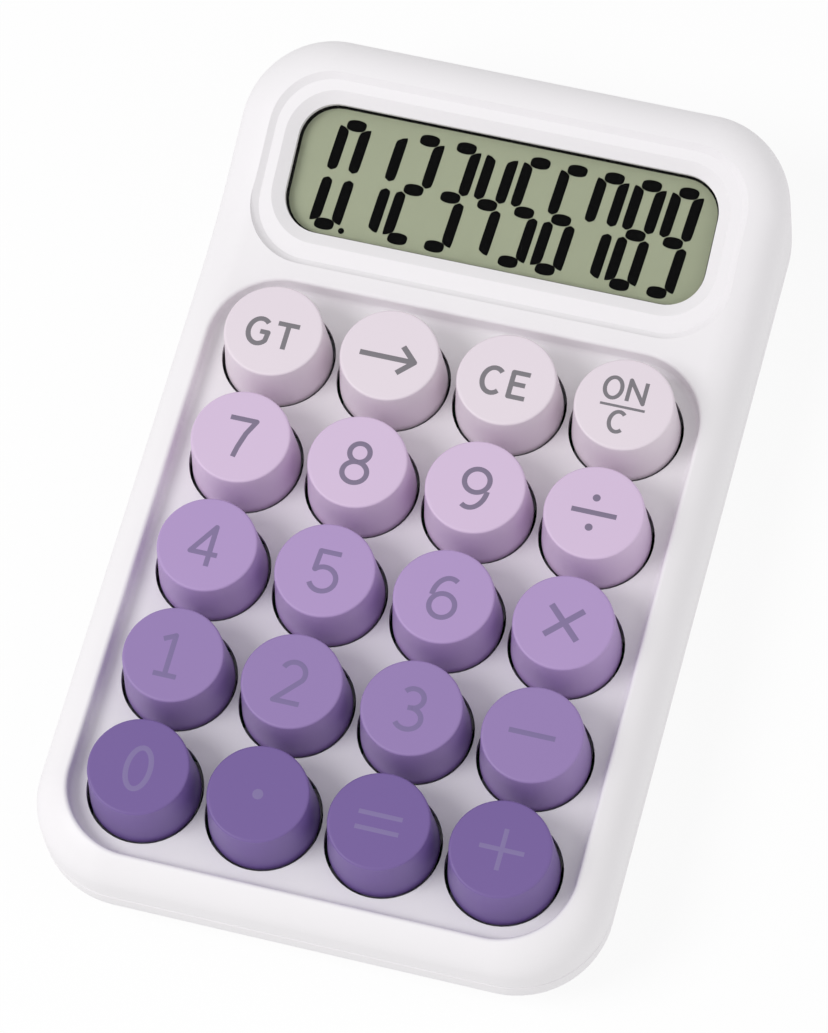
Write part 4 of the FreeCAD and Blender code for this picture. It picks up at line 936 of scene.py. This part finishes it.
class InsideSettings(bpy.types.PropertyGroup):
    """Switches, boards, screws and the cell"""

    housing_colour: picked("Switch housing", "Colour of both halves of the switches",
                           (0.86, 0.86, 0.88))
    stem_colour: picked("Switch stem", "Colour of the sliding stems", (0.70, 0.62, 0.78))
    board_colour: picked("Boards", "Solder mask of both boards", (0.13, 0.36, 0.24))
    track_colour: picked("Tracks", "Covered copper tracks on the boards", (0.20, 0.47, 0.31))
    steel_colour: picked("Steel", "Screws, springs and contacts", (0.78, 0.78, 0.79))
    solder_colour: picked("Solder", "Solder joints", (0.82, 0.82, 0.80))
    chip_colour: picked("Chip", "Resin of the chip and of small parts", (0.10, 0.10, 0.11))
    cable_colour: picked("Flat cable", "Flat cable between the boards", (0.80, 0.79, 0.77))
    sleeve_colour: picked("Cell sleeve", "Sleeve of the cell", (0.23, 0.25, 0.31))
    band_colour: picked("Cell band", "Band at the plus end of the cell", (0.66, 0.52, 0.78))
    spring_turns: amount("Spring turns", "Turns of a switch spring", 8.0, 2.0)
    screw_seed: bpy.props.IntProperty(name="Screw seed", default=4, min=0,
                                      description="Seed for how far each screw is turned")


class StageSettings(bpy.types.PropertyGroup):
    """Lamps, background and camera"""

    lamp_power: amount("Main lamp", "Power of the large soft lamp", 6.0, unit="POWER")
    right_lamp_power: amount("Right lamp", "Power of the weak lamp on the right", 1.2,
                             unit="POWER")
    sky_strength: amount("Ambient light", "Strength of the light all round", 0.68)
    mirrored_sky: amount("Mirrored light", "Strength of what glossy faces mirror", 0.12)
    floor_glow: amount("Floor glow", "Light that the floor throws on the case", 0.89)
    floor_colour: picked("Floor", "Colour of the floor", (0.96, 0.96, 0.96))
    focal_length: amount("Focal length", "Focal length of the camera, in millimetres", 177.1,
                         1.0, "CAMERA")


# ---- operators


class CALCULATOR_OT_case(bpy.types.Operator):
    """Dress both halves of the case and the battery door in pale moulded plastic"""

    bl_idname = "calculator.case"
    bl_label = "Case"

    def execute(self, context):
        case = context.scene.calculator_case
        plastic = moulded("Pale plastic", case.case_colour, case.case_roughness,
                          mottle=0.015, grain_depth=case.grain_depth)
        dress("top_case", "case_top", "root", plastic)
        dress("bottom_case", "case_base", "root", plastic)
        dress("battery_door", "door_panel", "door", plastic)
        return {"FINISHED"}


class CALCULATOR_OT_caps(bpy.types.Operator):
    """Dress the twenty keycaps, row by row from pale to deep purple"""

    bl_idname = "calculator.caps"
    bl_label = "Keycaps"

    def execute(self, context):
        settings = context.scene.calculator_keys
        for row, keys in enumerate(KEY_ROWS, 1):
            plastic = moulded(f"Cap plastic {row}", getattr(settings, f"cap_{row}"),
                              settings.cap_roughness, mottle=0.02, grain_depth=0.006 * MM)
            for key in keys:
                dress("keycap_" + key, "cap_" + key, "key_" + key, plastic)
        return {"FINISHED"}


class CALCULATOR_OT_lettering(bpy.types.Operator):
    """Print the numbers and signs on the keycaps"""

    bl_idname = "calculator.lettering"
    bl_label = "Lettering"

    def execute(self, context):
        settings = context.scene.calculator_keys
        for row, keys in enumerate(KEY_ROWS, 1):
            ink = moulded(f"Lettering ink {row}", getattr(settings, f"ink_{row}"),
                          settings.cap_roughness, mottle=0.04, grain_depth=0.003 * MM)
            for key in keys:
                mesh = lettering_mesh(key, settings.ink_height)
                mesh.transform(Matrix.Translation(cap_place(key)))
                piece("lettering_" + key, painted(mesh, ink), "key_" + key)
        return {"FINISHED"}


class CALCULATOR_OT_display(bpy.types.Operator):
    """Make the clear window, the panel behind it, the dark segments of the readout and a dark ring
    of painted shade round the window
    """

    bl_idname = "calculator.display"
    bl_label = "Display"

    def execute(self, context):
        display = context.scene.calculator_display
        deck = deck_matrix()
        outline = round_outline(*WINDOW_OUTLINE)
        window = prisms("window", [outline], -PANEL_TOP + LENS_GAP, -LENS_TOP)
        window.transform(deck)
        painted(window, clear_acrylic(display.glass_tint, 0.03))
        piece("window", window, "root", ["display_lens"])

        face = moulded("Panel face", display.panel_colour, 0.4, mottle=0.04,
                       grain_depth=0.002 * MM)
        dress("lcd_panel", "panel", "root", face)

        # This dark material colours both the real segments and the ring of painted shade round the
        # window.
        dark = moulded("Readout segments and window shade", display.segment_colour, 0.5, mottle=0.1,
                       grain_depth=0.001 * MM, **{"Specular IOR Level": 0.0})
        outlines = readout_outlines(display.readout, display.digit_pitch / MM,
                                    display.digit_slant)
        readout = prisms("readout", outlines, -PANEL_TOP, -PANEL_TOP + READOUT_THICKNESS)
        for name, mesh in (("readout", readout), ("window_border", shade_border_mesh())):
            mesh.transform(deck)
            piece(name, painted(mesh, dark), "root")
        return {"FINISHED"}


class CALCULATOR_OT_switches(bpy.types.Operator):
    """Dress the housings and stems of the twenty switches"""

    bl_idname = "calculator.switches"
    bl_label = "Switches"

    def execute(self, context):
        inside = context.scene.calculator_inside
        housing = moulded("Switch housing", inside.housing_colour, 0.35, grain_depth=0.003 * MM)
        slider = moulded("Switch stem", inside.stem_colour, 0.38, grain_depth=0.003 * MM)
        dress("switch_bases", "switch_lower_housings", "root", housing)
        dress("switch_tops", "switch_upper_housings", "root", housing)
        for key in KEYS:
            dress("stem_" + key, "slider_" + key, "key_" + key, slider)
        return {"FINISHED"}


class CALCULATOR_OT_springs(bpy.types.Operator):
    """Wind a coil spring for each switch"""

    bl_idname = "calculator.springs"
    bl_label = "Springs"

    def execute(self, context):
        inside = context.scene.calculator_inside
        steel = metal("Spring wire", inside.steel_colour, 0.28)
        low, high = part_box("switch_springs")
        height = high.z - low.z
        for key in KEYS:
            foot = Vector((*cap_place(key).xy, low.z))
            mesh = coil_mesh("coil_" + key, height, inside.spring_turns, steel)
            mesh.transform(Matrix.Translation(foot))
            stands_for = ["switch_springs"] if key == KEYS[0] else ()
            spring = piece("coil_" + key, mesh, "root", stands_for)
            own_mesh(spring)
        return {"FINISHED"}


class CALCULATOR_OT_boards(bpy.types.Operator):
    """Dress both circuit boards and add solder joints, the chip and small parts"""

    bl_idname = "calculator.boards"
    bl_label = "Boards"

    # Radius and height of a solder joint
    SOLDER_DROP = (0.95 * MM, 0.6 * MM)
    # In millimetres: a switch's pins from the middle of its key, places across the board of the
    # chip's legs and of the small parts, how far the legs and the parts' ends are from the
    # middle of their row, and the sides of each
    PINS = [(-3.81, 2.54), (2.54, 5.08)]
    LEG_PLACES = range(-5, 6, 2)
    LEG_REACH = 2.45
    LEG_SIDES = (0.5, 1.0, 0.24)
    PART_PLACES = (-30, -26.5, -23, -14, -10.5, 10.5, 14, 23, 26.5, 30)
    PART_SIDES = (0.9, 1.5, 0.6)
    END_REACH = 0.9
    END_SIDES = (0.95, 0.35, 0.64)

    def execute(self, context):
        inside = context.scene.calculator_inside
        board = moulded("Circuit board", tracked(inside.board_colour, inside.track_colour), 0.33,
                        mottle=0.05, grain_depth=0.004 * MM)
        resin = moulded("Chip resin", inside.chip_colour, 0.5, mottle=0.1)
        solder = metal("Solder", inside.solder_colour, 0.3)
        dress("main_board", "switch_board", "root", board)
        dress("display_board", "readout_board", "root", board)
        dress("calculator_chip", "chip", "root", resin)

        underside, top = (corner.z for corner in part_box("main_board"))
        pins = [Vector((*(cap_place(key).xy + Vector(pin) * MM), underside))
                for key in KEYS for pin in self.PINS]
        joints = repeated("solder_joints", pins, dome_mesh(*self.SOLDER_DROP), solder)
        piece("solder_joints", joints, "root")

        chip_low, chip_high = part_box("calculator_chip")
        row = (chip_low.y + chip_high.y) / 2
        for name, places, reach, sides, material, slot in (
            ("chip_legs", self.LEG_PLACES, self.LEG_REACH, self.LEG_SIDES, solder, "spring_steel"),
            ("small_parts", self.PART_PLACES, 0, self.PART_SIDES, resin, "chip_resin"),
            ("small_part_ends", self.PART_PLACES, self.END_REACH, self.END_SIDES, solder,
             "spring_steel"),
        ):
            spots = [Vector((x * MM, row + side * reach * MM, top))
                     for x in places for side in ((-1, 1) if reach else (0,))]
            piece(name, repeated(name, spots, box_mesh(*sides), material), "root")
        return {"FINISHED"}


class CALCULATOR_OT_display_stack(bpy.types.Operator):
    """Dress the frame behind the window, the rubber strips, the flat cable and the two wires"""

    bl_idname = "calculator.display_stack"
    bl_label = "Display stack"

    # The bands of the layered rubber and of the flat cable, and how much of each is the first
    LAYERS = (0.4 * MM, 0.5)
    CORES = (1.27 * MM, 0.7)

    def execute(self, context):
        inside = context.scene.calculator_inside
        housing = moulded("Panel frame", inside.housing_colour, 0.45, grain_depth=0.004 * MM)
        black_and_pale = banded([(0.16, 0.16, 0.17), (0.62, 0.60, 0.58)], *self.LAYERS)
        layers = moulded("Layered rubber", black_and_pale, 0.6, grain_depth=0.004 * MM)
        cores = banded([inside.cable_colour, (0.62, 0.60, 0.57)], *self.CORES)
        flat = moulded("Flat cable", cores, 0.4, grain_depth=0.003 * MM)
        black_and_red = stepped([(0.12, 0.12, 0.13), (0.72, 0.13, 0.12)], [0.0])
        wires = moulded("Wire sleeve", black_and_red, 0.4, grain_depth=0.003 * MM)
        dress("lcd_holder", "panel_frame", "root", housing)
        dress("zebra_strips", "rubber_strips", "root", layers)
        dress("ribbon_cable", "flat_cable", "root", flat)
        dress("battery_leads", "cell_wires", "root", wires)
        return {"FINISHED"}


class CALCULATOR_OT_cell(bpy.types.Operator):
    """Dress the cell with its sleeve and signs, and its two contacts"""

    bl_idname = "calculator.cell"
    bl_label = "Cell"

    # Bare steel at the minus end, coloured band and bare steel at the plus end
    MINUS_END = 0.6 * MM
    BAND_END = 14 * MM
    PLUS_END = 1.7 * MM
    # Name, text, size and place along the cell of each sign, in millimetres
    SIGNS = [("cell_name", "AAA", 5.0, -5.0), ("cell_plus", "+", 6.5, 14.5)]
    SIGN_THICKNESS = 0.03 * MM
    SIGN_SUNK = 0.01 * MM

    def execute(self, context):
        inside = context.scene.calculator_inside
        low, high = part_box("battery")
        steel, band, sleeve = inside.steel_colour, inside.band_colour, inside.sleeve_colour
        limits = [low.x + self.MINUS_END, high.x - self.BAND_END, high.x - self.PLUS_END]
        finish = moulded("Cell sleeve", stepped([steel, sleeve, band, steel], limits), 0.3,
                         grain_depth=0.002 * MM)
        dress("battery", "cell", "root", finish)
        contact = metal("Contact plate", inside.steel_colour, 0.35)
        dress("battery_contacts", "contact_plates", "root", contact)

        ink = moulded("Cell signs", (0.93, 0.93, 0.95), 0.4, grain_depth=0.002 * MM)
        radius = (high.z - low.z) / 2
        axis = (low + high) / 2
        for name, text, size, along in self.SIGNS:
            mesh = letters_mesh(text, size * MM, self.SIGN_THICKNESS)
            for vertex in mesh.vertices:
                angle = vertex.co.y / radius
                reach = radius + vertex.co.z - self.SIGN_SUNK
                vertex.co = axis + Vector((along * MM + vertex.co.x, reach * math.sin(angle),
                                           -reach * math.cos(angle)))
            mesh.flip_normals()
            piece(name, painted(mesh, ink), "root")
        return {"FINISHED"}


class CALCULATOR_OT_screws(bpy.types.Operator):
    """Set the case screws and the board screws, each turned by chance"""

    bl_idname = "calculator.screws"
    bl_label = "Screws"

    def execute(self, context):
        inside = context.scene.calculator_inside
        steel = metal("Screw steel", inside.steel_colour, 0.3)
        seed = inside.screw_seed
        boxes = solid_places("case_screws")
        head_height = CASE_SCREW["head_height"]
        seats = [above(low, high, low.z + head_height) for low, high in boxes]
        shank_length = boxes[0][1].z - boxes[0][0].z - head_height
        pattern = screw_mesh(shank_length, **CASE_SCREW)
        self.fix("case_fixings", seats, pattern, steel, seed, Matrix(), ["case_screws"])

        # The main board's screws are placed upside down, and then turned over as one.
        board_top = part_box("main_board")[1].z
        over = Matrix.Rotation(math.pi, 4, "X")
        seats = [over @ above(low, high, board_top) for low, high in solid_places("board_screws")
                 if abs(low.z + BOARD_SCREW_LENGTH - board_top) < 0.1 * MM]
        pattern = screw_mesh(BOARD_SCREW_LENGTH, **BOARD_SCREW)
        self.fix("board_fixings", seats, pattern, steel, seed, over, ["board_screws"])

        seats = [Vector((x * DISPLAY_SCREW_X, y * DISPLAY_SCREW_Y, -BOARD_UNDERSIDE))
                 for x in (-1, 1) for y in (-1, 1)]
        pattern = screw_mesh(BOARD_SCREW_LENGTH, **BOARD_SCREW)
        self.fix("display_fixings", seats, pattern, steel, seed + 1, deck_matrix())
        return {"FINISHED"}

    def fix(self, name, seats, pattern, steel, seed, into_place, stands_for=()):
        """Screws on their seats, each turned about its own axis, and then moved as one."""
        mesh = repeated(name, seats, pattern, steel, math.pi, seed)
        mesh.transform(into_place)
        piece(name, mesh, "root", stands_for)


class CALCULATOR_OT_underside(bpy.types.Operator):
    """Dress the four rubber feet, and rib the thumb grip of the battery door"""

    bl_idname = "calculator.underside"
    bl_label = "Underside"

    # The gap between door and case, and the sides, foot and pitch of the ribs in millimetres
    DOOR_GAP = 0.25 * MM
    RIB = (13, 0.4, 0.4, 0.22)
    RIB_PITCH = 1.1

    def execute(self, context):
        case = context.scene.calculator_case
        rubber = moulded("Foot rubber", case.foot_colour, 0.75, mottle=0.08,
                         grain_depth=0.03 * MM)
        dress("feet", "rubber_feet", "root", rubber)

        door_low, door_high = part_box("battery_door")
        middle = (door_low.y - self.DOOR_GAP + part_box("bottom_case")[1].y) / 2
        spots = [Vector((0, middle + step * self.RIB_PITCH * MM, door_low.z))
                 for step in range(-2, 3)]
        plastic = bpy.data.materials["Pale plastic"]
        ribs = repeated("grip_ribs", spots, box_mesh(*self.RIB), plastic)
        piece("grip_ribs", ribs, "door")
        return {"FINISHED"}


class CALCULATOR_OT_stage(bpy.types.Operator):
    """Set the floor, the lamps, the background and the camera"""

    bl_idname = "calculator.stage"
    bl_label = "Stage"

    # Place and size of each lamp. Lamps point at the origin.
    MAIN_LAMP = ((-0.66, -0.43, 0.94), 0.6)
    RIGHT_LAMP = ((0.85, -0.05, 0.75), 0.8)

    # Half the floor's width, how far it lies below the feet, and how much of it glows
    FLOOR_REACH = 4.0
    FLOOR_DROP = 0.02 * MM
    FLOOR_GLOWING = 0.85

    # The camera's place, and its directions to the right, down and ahead
    CAMERA_PLACE = (135.878 * MM, -310.172 * MM, 741.571 * MM)
    CAMERA_RIGHT = (0.9631, 0.2597, -0.0709)
    CAMERA_DOWN = (0.2084, -0.8859, -0.4145)
    CAMERA_AHEAD = (-0.1704, 0.3844, -0.9073)

    def execute(self, context):
        stage = context.scene.calculator_stage
        self.add_floor(stage)
        self.add_sky(context, stage)
        self.add_lamp("main_lamp", *self.MAIN_LAMP, stage.lamp_power)
        self.add_lamp("right_lamp", *self.RIGHT_LAMP, stage.right_lamp_power)
        self.add_camera(context, stage)
        context.scene.view_settings.view_transform = "Standard"
        return {"FINISHED"}

    def add_floor(self, stage):
        """A white floor that keeps the shadow and is open from below."""
        corners = [(x * self.FLOOR_REACH, y * self.FLOOR_REACH, -self.FLOOR_DROP)
                   for x, y in ((-1, -1), (1, -1), (1, 1), (-1, 1))]
        mesh = bpy.data.meshes.new("floor")
        mesh.from_pydata(corners, [], [(0, 1, 2, 3)])
        floor = linked("floor", mesh)
        material, tree, where = blank_material("Floor paper")
        material.cycles.emission_sampling = "NONE"
        surface = surface_node(tree, where, linear(stage.floor_colour), 0.01, 0.45, 0.08)
        matte = place(tree, "ShaderNodeBsdfDiffuse", (-300, 0), {"Color": surface["Colour"]})
        rays = place(tree, "ShaderNodeLightPath", (-750, -250))
        strength = place(tree, "ShaderNodeMapRange", (-520, -250),
                         {"Value": rays.outputs["Is Camera Ray"], "To Min": stage.floor_glow,
                          "To Max": 1.0})
        white = place(tree, "ShaderNodeEmission", (-300, -200),
                      {"Color": (1, 1, 1, 1), "Strength": strength.outputs[0]})
        paper = mixed(tree, (100, 0), self.FLOOR_GLOWING, matte.outputs[0], white.outputs[0])
        side = place(tree, "ShaderNodeNewGeometry", (100, 250))
        open_below = place(tree, "ShaderNodeBsdfTransparent", (100, -200))
        seen = mixed(tree, (350, 0), side.outputs["Backfacing"], paper, open_below.outputs[0])
        place(tree, "ShaderNodeOutputMaterial", (550, 0), {"Surface": seen})
        painted(mesh, material)

    def add_sky(self, context, stage):
        """Even light all round, which the camera sees as white and glossy faces see dimmer."""
        world = bpy.data.worlds.new("sky")
        context.scene.world = world
        world.use_nodes = True
        tree = world.node_tree
        tree.nodes.clear()
        rays = place(tree, "ShaderNodeLightPath", (-700, 200))
        lit = place(tree, "ShaderNodeMapRange", (-450, 0),
                    {"Value": rays.outputs["Is Glossy Ray"], "To Min": stage.sky_strength,
                     "To Max": stage.mirrored_sky})
        strength = place(tree, "ShaderNodeMapRange", (-250, 200),
                         {"Value": rays.outputs["Is Camera Ray"], "To Min": lit.outputs[0],
                          "To Max": 1.0})
        light = place(tree, "ShaderNodeBackground", (0, 0),
                      {"Color": (1, 1, 1, 1), "Strength": strength.outputs[0]})
        place(tree, "ShaderNodeOutputWorld", (250, 0), {"Surface": light.outputs[0]})

    def add_lamp(self, name, spot, size, power):
        """A round soft lamp that points at the origin."""
        lamp = bpy.data.lights.new(name, "AREA")
        lamp.shape = "DISK"
        lamp.size = size
        lamp.energy = power
        thing = linked(name, lamp)
        thing.location = spot
        thing.rotation_euler = (-Vector(spot)).to_track_quat("-Z", "Y").to_euler()

    def add_camera(self, context, stage):
        """The camera at the photograph's place."""
        lens = bpy.data.cameras.new("camera")
        lens.lens = stage.focal_length
        lens.sensor_width = 36.0
        lens.clip_start = 0.05
        lens.clip_end = 20
        camera = linked("camera", lens)
        axes = (self.CAMERA_RIGHT, -Vector(self.CAMERA_DOWN), -Vector(self.CAMERA_AHEAD))
        camera.rotation_mode = "QUATERNION"
        camera.rotation_quaternion = Matrix(axes).transposed().to_quaternion()
        camera.location = self.CAMERA_PLACE
        context.scene.camera = camera


OPERATORS = [
    CALCULATOR_OT_stage,
    CALCULATOR_OT_case,
    CALCULATOR_OT_caps,
    CALCULATOR_OT_lettering,
    CALCULATOR_OT_display,
    CALCULATOR_OT_switches,
    CALCULATOR_OT_springs,
    CALCULATOR_OT_boards,
    CALCULATOR_OT_display_stack,
    CALCULATOR_OT_cell,
    CALCULATOR_OT_screws,
    CALCULATOR_OT_underside,
]
SETTINGS = {
    "calculator_case": CaseSettings,
    "calculator_keys": KeySettings,
    "calculator_display": DisplaySettings,
    "calculator_inside": InsideSettings,
    "calculator_stage": StageSettings,
}


class CALCULATOR_PT_panel(bpy.types.Panel):
    """The calculator's settings and the steps that make it"""

    bl_idname = "CALCULATOR_PT_panel"
    bl_label = "Desk Calculator"
    bl_space_type = "VIEW_3D"
    bl_region_type = "UI"
    bl_category = "Calculator"

    def draw(self, context):
        for name, settings in SETTINGS.items():
            box = self.layout.box()
            box.label(text=settings.__doc__)
            for setting in settings.__annotations__:
                box.prop(getattr(context.scene, name), setting)
        for operator in OPERATORS:
            self.layout.operator(operator.bl_idname)


def register():
    for name, settings in SETTINGS.items():
        bpy.utils.register_class(settings)
        setattr(bpy.types.Scene, name, bpy.props.PointerProperty(type=settings))
    for made in (*OPERATORS, CALCULATOR_PT_panel):
        bpy.utils.register_class(made)


def unregister():
    for made in (CALCULATOR_PT_panel, *reversed(OPERATORS)):
        bpy.utils.unregister_class(made)
    for name, settings in reversed(SETTINGS.items()):
        delattr(bpy.types.Scene, name)
        bpy.utils.unregister_class(settings)


def main():
    register()
    for operator in OPERATORS:
        family, step = operator.bl_idname.split(".")
        getattr(getattr(bpy.ops, family), step)()


if __name__ == "__main__":
    main()
